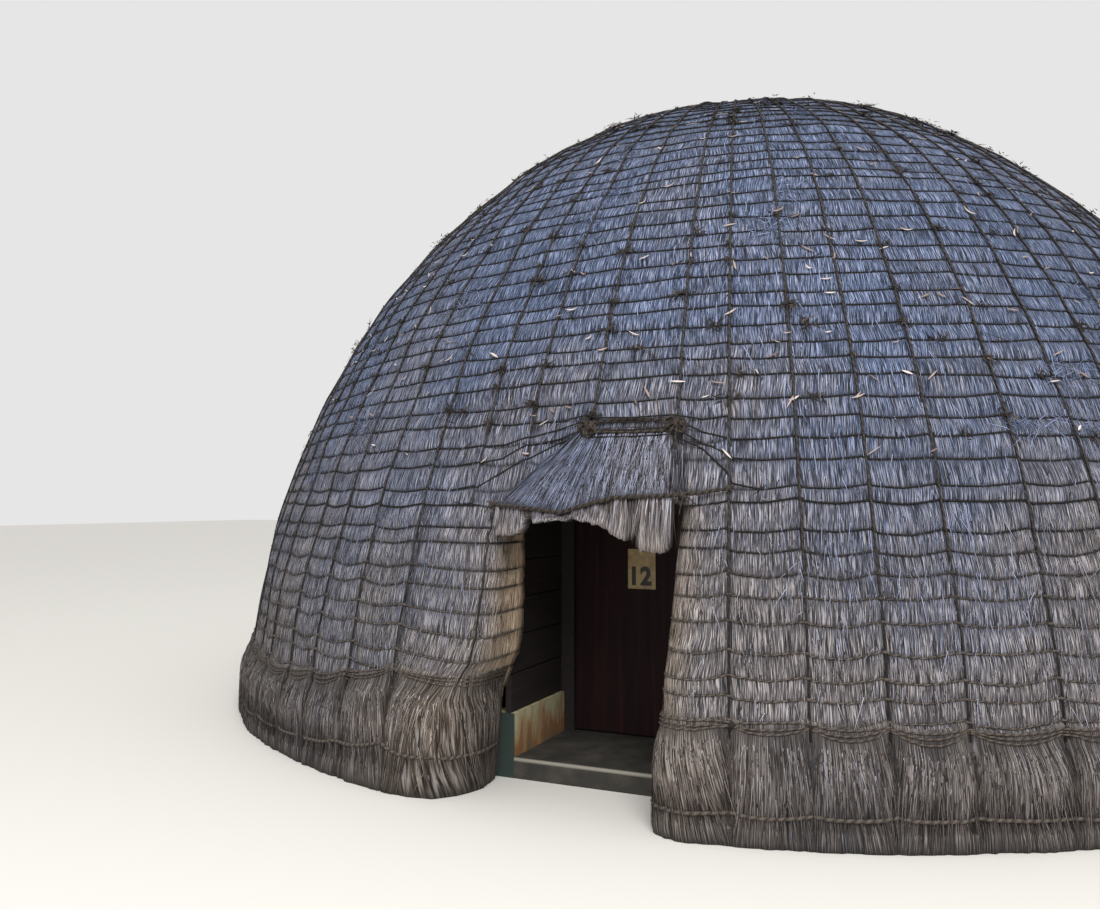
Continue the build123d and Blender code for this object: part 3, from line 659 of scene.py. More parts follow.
mirrorX = np.array([-1, 1, 1])
toRight, toLeft, toMiddle = slice(None, rightEnd), slice(None, leftStart - 1, -1), slice(rightEnd, leftStart)
rightUpright, leftUpright = uprights[wallRight], 360 - uprights[wallLeft]
rightSide = wallSide(wallRun[:, toRight], wallLift[:, toRight], "right", rightUpright)
leftSide = wallSide(wallRun[:, toLeft], wallLift[:, toLeft], "left", leftUpright)
middle = domePoint(middleAngle, wallRun[:, toMiddle], wallLift[:, toMiddle])
wallGrid = np.concatenate([rightSide, middle, leftSide[:, ::-1] * mirrorX], 1)
wallFace = (wallGrid, gridNormals(wallGrid, False), False)
rightInner = wallInnerSide(wallRun[:, toRight], "right", rightUpright)
leftInner = wallInnerSide(wallRun[:, toLeft], "left", leftUpright)
middleLevel = levelAt(wallRun[:, toMiddle])
middleInside = turnedSpot(middleAngle, np.interp(middleLevel, insideUp, insideAcross), middleLevel)
wallInside = np.concatenate([rightInner, middleInside, leftInner[:, ::-1] * mirrorX], 1)
wallPoints, wallFaces = closedShell(wallGrid, wallInside)
# the chart's first axis is the arc length along one row, so that it goes on round the jambs
arcSteps = np.linalg.norm(np.diff(wallGrid[jambs["arcRow"]], axis=0), axis=-1)
wallArc = np.concatenate([[0], np.cumsum(arcSteps)])
rowShift = (np.concatenate([np.zeros(footRows), wallHoop])[:-1] * 3.17 % 11)[:, None, None]
wallAcross = corners(np.broadcast_to(wallArc, wallRun.shape)) + rowShift
wallChart = shellChart(wallAcross, corners(wallRun) + rowShift, wallPoints, wallFaces)
# painted shade on the wall: along the hoops and in the seams at the uprights; the hidden faces get a little
# all over
wallRowShare = np.concatenate([np.full(footRows, 0.5), wallShare])
wallShade = np.interp(wallRowShare, relief["rowShares"], relief["rowPaintedShade"])
wallPaintedShade = np.maximum(wallShade[:, None], np.maximum(1 - wallColumnSwell * 1.25, 0))
freshColumn = np.zeros(wallColumns)
freshColumn[-sideCount:] = np.interp(np.arange(sideCount), *jambs["leftFreshAndPaintedLight"])
freshColumn[:sideCount] = np.interp(np.arange(sideCount), *jambs["rightFresh"])
wallFresh = np.interp(wallRun[:, 0], *jambs["freshUp"])[:, None] * freshColumn
thatchWall = makePiece("thatchWall", wallPoints, wallFaces, thatchGrass, "thatch", wallChart, values={
    "pressed": np.concatenate([wallPaintedShade.ravel(), np.full(wallFresh.size, 0.2)]),
    "fresh": np.concatenate([wallFresh.ravel(), np.full(wallFresh.size, 0.5)])})
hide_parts("thatch_jamb_left", "thatch_jamb_right", *[f"thatch_wall_{i}" for i in range(1, 8)])
print("wall", len(wallPoints))


def tubes(paths, normals, radius, sides, closed=False, taper=None):
    # many ropes at once: at each point of a path a ring, its first direction out of the thatch, its second
    # square to that and to the path
    if closed:
        ends = np.concatenate([paths[:, -1:], paths, paths[:, :1]], 1)
        along = unit(ends[:, 2:] - ends[:, :-2])
    else:
        along = unit(np.gradient(paths, axis=1))
    side = unit(np.cross(along, normals))
    out = np.cross(side, along)
    ring = np.arange(sides) * 2 * math.pi / sides
    thick = radius if taper is None else radius * taper[None, :, None, None]
    points = (paths[:, :, None] + thick * (np.cos(ring)[:, None] * out[:, :, None]
                                           + np.sin(ring)[:, None] * side[:, :, None]))
    count, length = paths.shape[:2]
    one = gridFaces(length + (1 if closed else 0), sides, True) % (length * sides)
    first = (np.arange(count) * length * sides)[:, None]
    faces = (one[None] + first[..., None]).reshape(-1, 4)
    steps = np.linalg.norm(np.diff(paths, axis=1), axis=-1)
    run = np.concatenate([np.zeros((count, 1)), np.cumsum(steps, 1)], 1)
    if closed:
        run = np.concatenate([run, run[:, -1:] + steps[:, :1]], 1)
    row, column = [part.ravel() for part in np.indices((run.shape[1] - 1, sides))]
    around = np.stack([column, column + 1, column + 1, column], -1) / sides
    lengthwise = np.stack([run[:, row], run[:, row], run[:, row + 1], run[:, row + 1]], -1)
    chart = np.stack([np.broadcast_to(around, lengthwise.shape), lengthwise], -1).reshape(-1, 2)
    faceSets = [faces]
    if not closed:
        last = first + (length - 1) * sides
        caps = np.concatenate([first + np.arange(sides)[::-1], last + np.arange(sides)])
        faceSets.append(caps)
        chart = np.concatenate([chart, np.zeros((caps.size, 2))])
    return points.reshape(-1, 3), faceSets, chart


def joined(parts):
    # several sets of points and faces as one
    starts = np.cumsum([0] + [len(part[0]) for part in parts])
    return (np.concatenate([part[0] for part in parts]),
            [faces + start for part, start in zip(parts, starts) for faces in part[1]])


def ropePiece(name, parts, material, slotName="rope"):
    # a piece of ropes or poles, each part with a chart of its own
    charts = np.concatenate([part[2] for part in parts])
    return makePiece(name, *joined(parts), material, slotName, charts, "ropeMap")


# Hoop ropes: each lies in the groove of its row. Near the hood those just above the doorway are drawn
# together to the hood's two knots.
gather = {"left": 1.3, "right": 8.25, "level": 2.045, "leftReach": 13.0, "rightReach": 5.2,
          "leftPower": 1.25, "rightPower": 0.9, "lowest": doorHoop + 1, "highest": doorHoop + 4,
          "spacing": 0.85, "overHood": 0.04}
ropeShares = np.array([0, 0.06, 0.5, 0.94])
ropeCell = np.repeat(np.arange(uprightCount), len(ropeShares))
ropeColumn = np.interp(ropeCell + np.tile(ropeShares, uprightCount), columnPlace, columnNumbers)
ropeAngle = uprights[ropeCell] + (nextUprights - uprights)[ropeCell] * np.tile(ropeShares, uprightCount)
rowOfHoop = np.interp(np.arange(doorHoop, hoopCount), rowPlace, rowNumbers)
knotRow = np.interp(np.interp(runAt(gather["level"]), hoopRuns, np.arange(hoopCount)), rowPlace, rowNumbers)


def pullToKnots(row, hoop):
    # share by which a hoop is drawn to the knots: whole between them, fading to nothing along a cosine
    turned = fromDoorway(ropeAngle)
    left = np.clip((gather["left"] - turned) / gather["leftReach"], 0, 1)
    right = np.clip((turned - gather["right"]) / gather["rightReach"], 0, 1)
    power = np.where(left > 0, gather["leftPower"], gather["rightPower"])
    pull = (0.5 + 0.5 * np.cos(np.maximum(left, right) * math.pi)) ** power
    target = knotRow + (hoop - gather["lowest"] - 1) * gather["spacing"]
    return row + pull * (target - row)


def hoopPath(hoop):
    row = np.full(len(ropeAngle), rowOfHoop[hoop - doorHoop])
    if gather["lowest"] <= hoop <= gather["highest"]:
        row = pullToKnots(row, hoop)
    turned = fromDoorway(ropeAngle)
    overHood = (turned > gather["left"] - 1) & (turned < gather["right"] + 1) & (hoop <= gather["highest"])
    lift = net["hoopRadius"] * 0.9 + gather["overHood"] * overHood
    return spotOn(domeFace, row, ropeColumn, lift[:, None])


upperPaths, upperNormals = [np.array(part) for part in zip(*map(hoopPath, range(doorHoop + 1, hoopCount)))]
upperHoops = tubes(upperPaths, upperNormals, net["hoopRadius"], net["ropeSides"], True)
# hoops of the wall run round both jambs and end inside the doorway
wallRopeShares = np.interp((np.arange(wallLeft - wallRight)[:, None] + ropeShares).ravel(),
                           middleCell - wallRight + middleShare, np.arange(len(middleCell)))
wallRopeColumns = np.concatenate([np.arange(2, sideCount), rightEnd + wallRopeShares,
                                  np.arange(leftStart, wallColumns - 2)])
wallRowOfHoop = footRows + np.interp(np.arange(1, doorHoop + 1), wallHoop + wallShare,
                                     np.arange(len(wallHoop)))
wallHoopRow, wallHoopColumn = np.broadcast_arrays(wallRowOfHoop[:, None], wallRopeColumns)
wallHoopPath, wallHoopNormal = spotOn(wallFace, wallHoopRow, wallHoopColumn, net["hoopRadius"] * 0.9)
lowerHoops = tubes(wallHoopPath, wallHoopNormal, net["hoopRadius"], net["ropeSides"])
hoopRopes = ropePiece("hoopRopes", [lowerHoops], hoopRopeSkin)
hoopRopesUpper = ropePiece("hoopRopesUpper", [upperHoops], hoopRopeSkin)
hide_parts("wall_hoop_ropes")
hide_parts("shoulder_hoop_ropes", "crown_hoop_ropes")
print("hoop ropes", len(upperHoops[0]) + len(lowerHoops[0]))


def withHalves(rows):
    return np.unique(np.concatenate([rows, (rows[:-1] + rows[1:]) / 2]))


# Upright ropes: over the hoops, from the skirt's band to the top. Every second one ends short of the top.
uprightRows = withHalves(rowOfHoop)
lowRows = np.unique(np.append(withHalves(wallRowOfHoop), footRows + 0.5))[:-1]
uprightLift = net["hoopRadius"] * 1.1 + net["uprightRadius"]


def uprightPaths(numbers, lastRow, fromWall):
    column = np.interp(numbers.astype(float), columnPlace, columnNumbers)
    rowsHere = uprightRows[uprightRows <= lastRow]
    path, normal = spotOn(domeFace, *np.broadcast_arrays(rowsHere[None, :], column[:, None]), uprightLift)
    if fromWall:
        wallColumn = (rightEnd + (numbers - wallRight) * len(columnShares)).astype(float)
        low = spotOn(wallFace, *np.broadcast_arrays(lowRows[None, :], wallColumn[:, None]), uprightLift)
        path, normal = np.concatenate([low[0], path], 1), np.concatenate([low[1], normal], 1)
    return path, normal


wholeRopes = np.arange(wallRight, wallLeft + 1)
shortRow = np.interp(hoopCount - net["shortBy"], rowPlace, rowNumbers)
jambColumn = np.full((1, len(lowRows)), wallColumns - net["jambUpright"])
uprightSets = [uprightPaths(wholeRopes[::2], rowNumbers[-1], True),
               uprightPaths(wholeRopes[1::2], shortRow, True),
               spotOn(wallFace, lowRows[None], jambColumn, uprightLift)]
uprightRopes = ropePiece("uprightRopes", [
    tubes(path, normal, net["uprightRadius"], net["ropeSides"],
          taper=np.interp(path[0, :, 2], net["sagLevels"], [net["uprightFoot"], 1]))
    for path, normal in uprightSets], uprightRopeSkin)
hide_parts("meridian_ropes")

doorNumbers = np.array([n for n in range(uprightCount) if n < wallRight or n > wallLeft])
doorPath, doorNormal = uprightPaths(doorNumbers, shortRow, False)
firstDoorRow = int(np.searchsorted(uprightRows, knotRow))
doorUprights = ropePiece("doorUprights", [tubes(doorPath[:, firstDoorRow:], doorNormal[:, firstDoorRow:],
                                                net["uprightRadius"], net["ropeSides"])], uprightRopeSkin)
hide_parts("door_meridian_ropes")
print("upright ropes", sum(path.shape[0] for path, _ in uprightSets) + len(doorNumbers))


def lumps(centres, outward, along, size):
    # beads of eight faces, scaled along three directions
    shape = np.array([[1, 0, 0], [-1, 0, 0], [0, 1, 0], [0, -1, 0], [0, 0, 1], [0, 0, -1]], float)
    beadAxes = np.stack([outward, along, unit(np.cross(along, outward))], 1)
    points = centres[:, None] + np.einsum("pk,nk,nkc->npc", shape, size, beadAxes)
    # these axes are left-handed, so the faces turn the other way
    one = np.array([[2, 0, 4], [1, 2, 4], [3, 1, 4], [0, 3, 4], [0, 2, 5], [2, 1, 5], [1, 3, 5], [3, 0, 5]])
    faces = (one[None] + (np.arange(len(centres)) * len(shape))[:, None, None]).reshape(-1, 3)
    return points.reshape(-1, 3), [faces], np.tile([[0.3, 0.1]], (len(faces) * 3, 1))


def pairs(first, second):
    return [part.ravel() for part in np.meshgrid(first, second, indexing="ij")]


# Hitches: where a hoop is turned round an upright, a small lump of rope; none under the hood.
hitches = {"size": (0.013, 0.017, 0.013), "spread": (0.75, 1.25), "hoodMiddle": 2, "hoodReach": 12.5,
           "hoodRows": 3}
hitchRow, hitchUpright = pairs(rowOfHoop[:hoopCount - net["shortBy"] - doorHoop], np.arange(uprightCount))
hitchColumn = np.interp(hitchUpright.astype(float), columnPlace, columnNumbers)
hitchAside = np.abs(fromDoorway(uprights[hitchUpright]) - hitches["hoodMiddle"])
underHood = (hitchAside < hitches["hoodReach"]) & (hitchRow < knotRow + hitches["hoodRows"])
lowRow, lowUpright = pairs(wallRowOfHoop[:-1], wholeRopes)
lowColumn = (rightEnd + (lowUpright - wallRight) * len(columnShares)).astype(float)
hitchSpot, hitchOut = [np.concatenate(part) for part in zip(
    spotOn(domeFace, hitchRow[~underHood], hitchColumn[~underHood]), spotOn(wallFace, lowRow, lowColumn))]
hitchOut = unit(hitchOut)
hitchSpot = hitchSpot + hitchOut * net["hoopRadius"] * 1.5
hitchAlong = unit(np.stack([-hitchSpot[:, 1], hitchSpot[:, 0], np.zeros(len(hitchSpot))], -1))
hitchSize = np.array(hitches["size"]) * chance.uniform(*hitches["spread"], (len(hitchSpot), 3))
ropePiece("ropeHitches", [lumps(hitchSpot, hitchOut, hitchAlong, hitchSize)], hoopRopeSkin)
print("hitches", len(hitchSpot))


def stems(roots, tips, outward, width, shade):
    # single stems: a flat three-cornered root and a pointed tip
    along = unit(tips - roots)
    side = unit(np.cross(along, outward))
    out = np.cross(side, along)
    ring = np.arange(3) * 2 * math.pi / 3 + 0.5
    offset = width[:, None, None] * (np.cos(ring)[:, None] * side[:, None]
                                     + 0.6 * np.sin(ring)[:, None] * out[:, None])
    points = np.concatenate([roots[:, None] + offset, tips[:, None]], 1)
    one = np.array([[0, 1, 3], [1, 2, 3], [2, 0, 3], [2, 1, 0]])
    faces = (one[None] + (np.arange(len(roots)) * 4)[:, None, None]).reshape(-1, 3)
    return points.reshape(-1, 3), [faces], np.repeat(shade, 4)


def stemPiece(name, parts, fresh, slotName):
    # a piece of stems, each part with shades of its own
    makePiece(name, *joined(parts), looseStems, slotName, smooth=False, values={
        "shade": np.concatenate([part[2] for part in parts]), "fresh": fresh})


# Skirt of coarse upright grass round the foot: bound by a band of three ropes, it spreads below and is
# drawn in once more by the rope near the ground.
skirt = {
    "levels": [0, 0.06, 0.14, 0.25, 0.37, 0.50, 0.64, 0.76, 0.85, 0.91, 0.96, 1.0],     # shares of its height
    "lift": [0.060, 0.066, 0.062, 0.042, 0.062, 0.074, 0.072, 0.054, 0.026, 0.014, 0.012, -0.010],
    "seam": [0.2, 0.2, 0.2, 0.3, 0.45, 0.7, 1.0, 1.1, 0.9, 0.3, 0.0, 0.0],
    "clumpShares": [1, 1, 0.9, 0.6, 0.9, 0.9, 0.8, 0.5, 0.2, 0.1, 0.1, 0],
    "pressed": [1.0, 0.85, 0.65, 0.85, 0.55, 0.45, 0.50, 0.60, 0.8, 0.85, 0.6, 0.5],
    "seamDepth": 0.050, "seamWidth": 0.07, "clump": 0.012, "clumpGap": (0.03, 0.10), "clumps": 900,
    "raggedFoot": 0.012, "raggedRows": [1.0, 0.9, 0.7, 0.3], "most": 0.088, "inside": -0.03,
    "endReach": [0, 0.12, 0.5, 0.8], "endLift": [0.3, 0.42, 0.8, 1.0],
    "columns": 1100, "firstColumn": 1, "stretches": 200,    # at least as many as there are uprights
    "bandLevel": 0.52, "bandWave": 0.012,
    "bandSag": [0.010, 0.010, 0.018, 0.016], "sagAngles": [-60, -8, 10, 180],
    "above": 0.045, "leftRise": 0.14, "leftPlace": -12.0, "leftReach": 9.0,
    "ropeRadius": 0.0054, "ropeGap": 0.022, "ropeWander": 0.004, "footRadius": 0.010,
    "footLevel": 0.14, "footRise": 0.13, "footWave": 0.015, "loopSag": (0.0, 0.045),
    "hitchStand": 0.009, "hitchShare": 0.7, "hitchSizes": [[0.013, 0.024, 0.019], [0.010, 0.020, 0.016]],
    "easeFrom": 4.495, "easeRoom": 0.060, "lean": (-0.08, 0.18), "fan": 0.22, "chartScale": (0.7, 0.6),
}
wallNumbers, skirtNumbers = np.arange(wallColumns), np.arange(skirt["columns"])
levelNumbers = np.arange(len(skirt["levels"]))
firstArc, lastArc = wallArc[skirt["firstColumn"]], wallArc[-1 - skirt["firstColumn"]]
skirtColumn = np.interp(np.linspace(firstArc, lastArc, skirt["columns"]), wallArc, wallNumbers)
skirtArc = np.interp(skirtColumn, wallNumbers, wallArc)
turnedAngle = fromDoorway(np.interp(skirtColumn, wallNumbers, wallAngle))
leftRise = np.exp(-((turnedAngle - skirt["leftPlace"]) / skirt["leftReach"]) ** 2)
# share of the way from one upright to the next, and the number of that stretch
skirtFlow = np.interp(skirtColumn, wallNumbers, np.cumsum(np.concatenate([[0], np.diff(wallFlow) % 1])))
skirtFlow += wallFlow[0] - int(wallFlow[0])
skirtShare, skirtCell = skirtFlow % 1, skirtFlow.astype(int)


def perStretch(low, high, numbers=skirtCell):
    # one chance value for each stretch of the skirt
    return chance.uniform(low, high, skirt["stretches"])[numbers]


# the band hangs in a shallow curve from one upright to the next
bandLine = (skirt["bandLevel"] + skirt["leftRise"] * leftRise + skirt["bandWave"] * np.sin(skirtArc * 1.9)
            - np.interp(turnedAngle, skirt["sagAngles"], skirt["bandSag"]) * perStretch(0.2, 1.4)
            * dropBetween(skirtShare))
skirtHeight = bandLine + skirt["above"]
skirtLevel = np.array(skirt["levels"])[:, None] * skirtHeight
lowLevels = levelAt(wallRun[:, wallColumns // 2])


def wallAt(level, column, lift):
    # a spot on the wall at a height, lift metres out on the level
    row = np.interp(level, lowLevels, np.arange(len(lowLevels)))
    spot, outward = spotOn(wallFace, row, np.broadcast_to(column, row.shape))
    return spot + unit(outward * [1, 1, 0]) * lift[..., None]


clumpPlaces = np.cumsum(chance.uniform(*skirt["clumpGap"], skirt["clumps"]))
clumps = np.interp(skirtArc, clumpPlaces, chance.uniform(-1, 1, skirt["clumps"]))
skirtLift = (np.array(skirt["lift"])[:, None]
             + skirt["clump"] * clumps * np.array(skirt["clumpShares"])[:, None])
# a seam runs down from each upright: the grass parts there and fans out below
toSeam = np.minimum(skirtShare, 1 - skirtShare)
seamHere = np.exp(-(toSeam / skirt["seamWidth"]) ** 2) * perStretch(0.5, 1.0, np.round(skirtFlow).astype(int))
seamLine = np.array(skirt["seam"])[:, None] * seamHere
skirtLift = skirtLift - skirt["seamDepth"] * seamLine
raggedFoot = chance.uniform(-skirt["raggedFoot"], skirt["raggedFoot"], skirt["columns"])
skirtLift[:len(skirt["raggedRows"])] += np.array(skirt["raggedRows"])[:, None] * raggedFoot
# it thins towards its two ends, inside the doorway
endReach = np.minimum(skirtArc - skirtArc[0], skirtArc[-1] - skirtArc)
skirtLift = np.minimum(skirtLift, skirt["most"]) * np.interp(endReach, skirt["endReach"], skirt["endLift"])
skirtGrid = wallAt(skirtLevel, skirtColumn, skirtLift)
# past a distance from the middle it bulges less and less: the excess goes through a hyperbolic tangent
reach = np.linalg.norm(skirtGrid[..., :2], axis=-1)
excess = np.maximum(reach - skirt["easeFrom"], 0)
eased = reach - excess + skirt["easeRoom"] * np.tanh(excess / skirt["easeRoom"])
skirtGrid[..., :2] *= (eased / reach)[..., None]
skirtInside = wallAt(skirtLevel, skirtColumn, np.full_like(skirtLift, skirt["inside"]))
skirtGrid[0, :, 2] = skirtInside[0, :, 2] = 0
skirtFace = (skirtGrid, gridNormals(skirtGrid, False), False)
skirtPoints, skirtFaces = closedShell(skirtGrid, skirtInside)
# stems lean by a chance amount in each stretch, more towards its right end
skirtLean = perStretch(*skirt["lean"]) + skirt["fan"] * (skirtShare - 0.5)
upright = corners(skirtLevel)
quadArc, quadLean = [corners(np.broadcast_to(line, skirtLevel.shape)) for line in (skirtArc, skirtLean)]
skirtChart = shellChart((quadArc + upright * quadLean) * skirt["chartScale"][0],
                        upright * skirt["chartScale"][1], skirtPoints, skirtFaces)
# painted shade between the clumps and in the seams; by rows it is darker at the foot, and the hidden faces
# get a little all over
skirtPaintedShade = np.array(skirt["pressed"])[:, None] + 0.3 * np.maximum(-clumps, 0) + 1.3 * seamLine
# fresh near the doorway, most on its left
skirtFresh = np.interp(skirtArc, [0.5, 1.1, skirtArc[-1] - 1.5, skirtArc[-1] - 0.5], [0.15, 0.08, 0.08, 0.20])
skirtGrass = makePiece("skirtGrass", skirtPoints, skirtFaces, thatchGrass, "skirt_grass", skirtChart, values={
    "pressed": np.concatenate([np.minimum(skirtPaintedShade, 1.3).ravel(), np.full(skirtLevel.size, 0.3)]),
    "fresh": np.tile(skirtFresh, 2 * len(skirtLevel))})
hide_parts("skirt_left", "skirt_right", "skirt_back")
print("skirt", len(skirtPoints))

# Loose stems that stand a little off the thatch, combed down: what breaks up the smooth face up close.
looseStemPlan = {"upper": 34000, "wall": 22000, "length": (0.06, 0.16), "upperWidth": (0.0016, 0.0032),
                 "wallWidth": (0.0013, 0.0027), "stand": (0.001, 0.008), "rootLift": 0.001, "stray": 0.20,
                 "upperFoot": 1.66, "topReach": 0.5, "wallLevels": (0.60, 1.64), "wallEnd": 0.15}
ruffled = {"patches": 46, "stems": 90, "reach": 0.09, "rowsPerMetre": 25, "columnsPerMetre": 14,
           "width": (0.0016, 0.003), "rootLift": 0.003, "tipLift": 0.006, "rise": 0.04}


def fallingStems(face, row, column, rowsPerMetre, columnsPerMetre, width):
    # root on the face, tip further down the slope and a little to one side, standing off by a few millimetres
    count = len(row)
    length = chance.uniform(*looseStemPlan["length"], count)
    aside = chance.normal(0, looseStemPlan["stray"], count) * length
    tipRow, tipColumn = np.maximum(row - length * rowsPerMetre, 0.5), column + aside * columnsPerMetre
    roots, _ = spotOn(face, row, column, looseStemPlan["rootLift"])
    tips, outward = spotOn(face, tipRow, tipColumn, chance.uniform(*looseStemPlan["stand"], count)[:, None])
    shade = chance.beta(0.8, 1.0, count)
    return stems(roots, tips, outward, chance.uniform(*looseStemPlan[width], count), shade)


# an even spread over the area: more stems where the ring is longer
upperCount = looseStemPlan["upper"]
spreadRun = np.linspace(runAt(looseStemPlan["upperFoot"]), slopeLength - looseStemPlan["topReach"], 400)
spreadShare = np.cumsum(acrossAt(spreadRun)) / np.sum(acrossAt(spreadRun))
evenly = np.linspace(0, 1, len(spreadRun))
spotRun = np.interp(chance.uniform(0, 1, upperCount), evenly, np.interp(evenly, spreadShare, spreadRun))
meanRun = domeRun.mean(1)
spotRow = np.interp(spotRun, meanRun, rowNumbers)
spotColumn = chance.uniform(0, len(columnCell), upperCount)
rowsPerMetre = np.interp(spotRun, meanRun, np.gradient(rowNumbers, meanRun))
columnsPerMetre = len(columnCell) / (2 * math.pi * acrossAt(spotRun))
upperStems = fallingStems(domeFace, spotRow, spotColumn, rowsPerMetre, columnsPerMetre, "upperWidth")
# here and there a patch is ruffled: its stems lie any way
patchSpot = np.repeat(chance.integers(0, upperCount, ruffled["patches"]), ruffled["stems"])
ruffledCount = len(patchSpot)
ruffledUp, ruffledAcross = [chance.normal(0, ruffled["reach"], ruffledCount) for _ in range(2)]
ruffledSpot, ruffledOut = spotOn(domeFace, spotRow[patchSpot] + ruffledUp * ruffled["rowsPerMetre"],
                                 spotColumn[patchSpot] + ruffledAcross * ruffled["columnsPerMetre"])
ruffledWay = unit(np.cross(ruffledOut, chance.normal(0, 1, ruffledSpot.shape))) + ruffledOut * ruffled["rise"]
ruffledLength = chance.uniform(*looseStemPlan["length"], ruffledCount)[:, None]
ruffledTip = ruffledSpot + ruffledWay * ruffledLength + ruffledOut * ruffled["tipLift"]
ruffledStems = stems(ruffledSpot + ruffledOut * ruffled["rootLift"], ruffledTip, ruffledOut,
                     chance.uniform(*ruffled["width"], ruffledCount), chance.beta(2.5, 1.5, ruffledCount))
stemPiece("looseStemsUpper", [upperStems, ruffledStems], np.zeros(4 * (upperCount + ruffledCount)), "thatch")

wallCount = looseStemPlan["wall"]
wallMeanRun, wallRowNumbers = wallRun.mean(1), np.arange(len(wallRun))
wallSpotRun = chance.uniform(*runAt(np.array(looseStemPlan["wallLevels"])), wallCount)
wallSpotArc = chance.uniform(looseStemPlan["wallEnd"], wallArc[-1] - looseStemPlan["wallEnd"], wallCount)
wallSpotColumn = np.interp(wallSpotArc, wallArc, wallNumbers)
wallStems = fallingStems(wallFace, np.interp(wallSpotRun, wallMeanRun, wallRowNumbers), wallSpotColumn,
                         np.interp(wallSpotRun, wallMeanRun, np.gradient(wallRowNumbers, wallMeanRun)),
                         np.interp(wallSpotArc, wallArc, np.gradient(wallNumbers, wallArc)), "wallWidth")
wallStemFresh = np.repeat(np.interp(wallSpotColumn, wallNumbers, freshColumn), 4)
stemPiece("looseStemsWall", [wallStems], wallStemFresh, "thatch")
print("loose stems", upperCount + ruffledCount + wallCount)

# Coarse stems of the skirt, upright and ragged, the longest down to the ground.
skirtStemPlan = {"count": 28000, "length": (0.10, 0.30), "width": (0.0014, 0.0032), "stand": (0.001, 0.012),
                 "stray": 0.08, "rootLift": 0.002, "top": (0.16, 0.98), "band": 0.82,
                 "belowBand": (0.62, 0.82)}
skirtCount = skirtStemPlan["count"]
skirtSpot = chance.uniform(2, skirt["columns"] - 3, skirtCount)
topShare = chance.uniform(*skirtStemPlan["top"], skirtCount)
heightHere = np.interp(skirtSpot, skirtNumbers, skirtHeight)
footShare = np.maximum(topShare - chance.uniform(*skirtStemPlan["length"], skirtCount) / heightHere, 0.004)
# those that would cross the band begin below it
crossing = (topShare > skirtStemPlan["band"]) & (footShare < skirtStemPlan["band"])
lowerTop = np.maximum(footShare + 0.1, chance.uniform(*skirtStemPlan["belowBand"], skirtCount))
topShare = np.where(crossing, lowerTop, topShare)
skirtDrop = (topShare - footShare) * heightHere
skirtStray = chance.normal(0, skirtStemPlan["stray"], skirtCount)
skirtAside = (np.interp(skirtSpot, skirtNumbers, skirtLean) + skirtStray) * skirtDrop
skirtAside = skirtAside / (wallArc[-1] / skirt["columns"])
rootRow, tipRow = [np.interp(share, skirt["levels"], levelNumbers) for share in (topShare, footShare)]
skirtRoots, skirtOut = spotOn(skirtFace, rootRow, skirtSpot, skirtStemPlan["rootLift"])
skirtTips, _ = spotOn(skirtFace, tipRow, np.clip(skirtSpot + skirtAside, 1, skirt["columns"] - 2))
skirtTips = skirtTips + skirtOut * chance.uniform(*skirtStemPlan["stand"], skirtCount)[:, None]
skirtTips[:, 2] = np.maximum(skirtTips[:, 2], 0.006)
inSeam = (np.interp(skirtSpot, skirtNumbers, seamHere)
          * np.interp((topShare + footShare) / 2, skirt["levels"], skirt["seam"]))
skirtWidth = chance.uniform(*skirtStemPlan["width"], skirtCount)
# painted shade in the seams; darker near the ground and to the right of the doorway
skirtShade = (0.94 * chance.beta(0.56, 0.76, skirtCount) * np.maximum(1 - 1.1 * inSeam, 0.05)
              * np.interp(skirtSpot / skirt["columns"], [0, 0.3, 0.6], [0.86, 0.92, 1.0])
              * np.interp(footShare, [0.0, 0.12, 0.4], [0.6, 0.85, 1.0]))
skirtStems = stems(skirtRoots, skirtTips, skirtOut, skirtWidth, skirtShade)
skirtStemFresh = np.repeat(np.interp(skirtSpot, skirtNumbers, skirtFresh), 4)
stemPiece("looseStemsSkirt", [skirtStems], skirtStemFresh, "skirt_grass")
print("skirt stems", skirtCount)

# Band of three ropes at the top of the skirt, and the rope near its foot, which hangs in loops.
bandShift = np.array([-1, 0, 1])[:, None] * skirt["ropeGap"] * (0.30 + 0.7 * dropBetween(skirtShare))
bandWander = np.sin(skirtArc * np.array([3.1, 2.3, 4.2])[:, None] + np.array([0, 2, 4])[:, None])
loopSags = perStretch(*skirt["loopSag"]) * (0.35 + 0.65 * leftRise)
footLine = (skirt["footLevel"] + skirt["footRise"] * leftRise + skirt["footWave"] * np.sin(skirtArc * 1.3)
            - loopSags * dropBetween(skirtShare))


def skirtTubes(lines, radius, lift):
    # ropes laid on the skirt along lines of heights, a point at every third column
    numbers = skirtNumbers[::3]
    ropeRows = np.interp((lines / skirtHeight)[:, numbers], skirt["levels"], levelNumbers)
    return tubes(*spotOn(skirtFace, ropeRows, np.broadcast_to(numbers, ropeRows.shape), lift), radius, 6)


bandTubes = skirtTubes(bandLine + bandShift + skirt["ropeWander"] * bandWander, skirt["ropeRadius"],
                       skirt["ropeRadius"] * 0.9)
footTubes = skirtTubes(footLine[None], skirt["footRadius"], skirt["footRadius"] * 1.2)


def onSkirt(line, spots):
    # spots of the skirt on a line round it, a little proud of its face, and their normals
    row = np.interp(np.interp(spots, skirtNumbers, line / skirtHeight), skirt["levels"], levelNumbers)
    spot, outward = spotOn(skirtFace, row, spots)
    return spot + unit(outward) * skirt["hitchStand"], unit(outward)


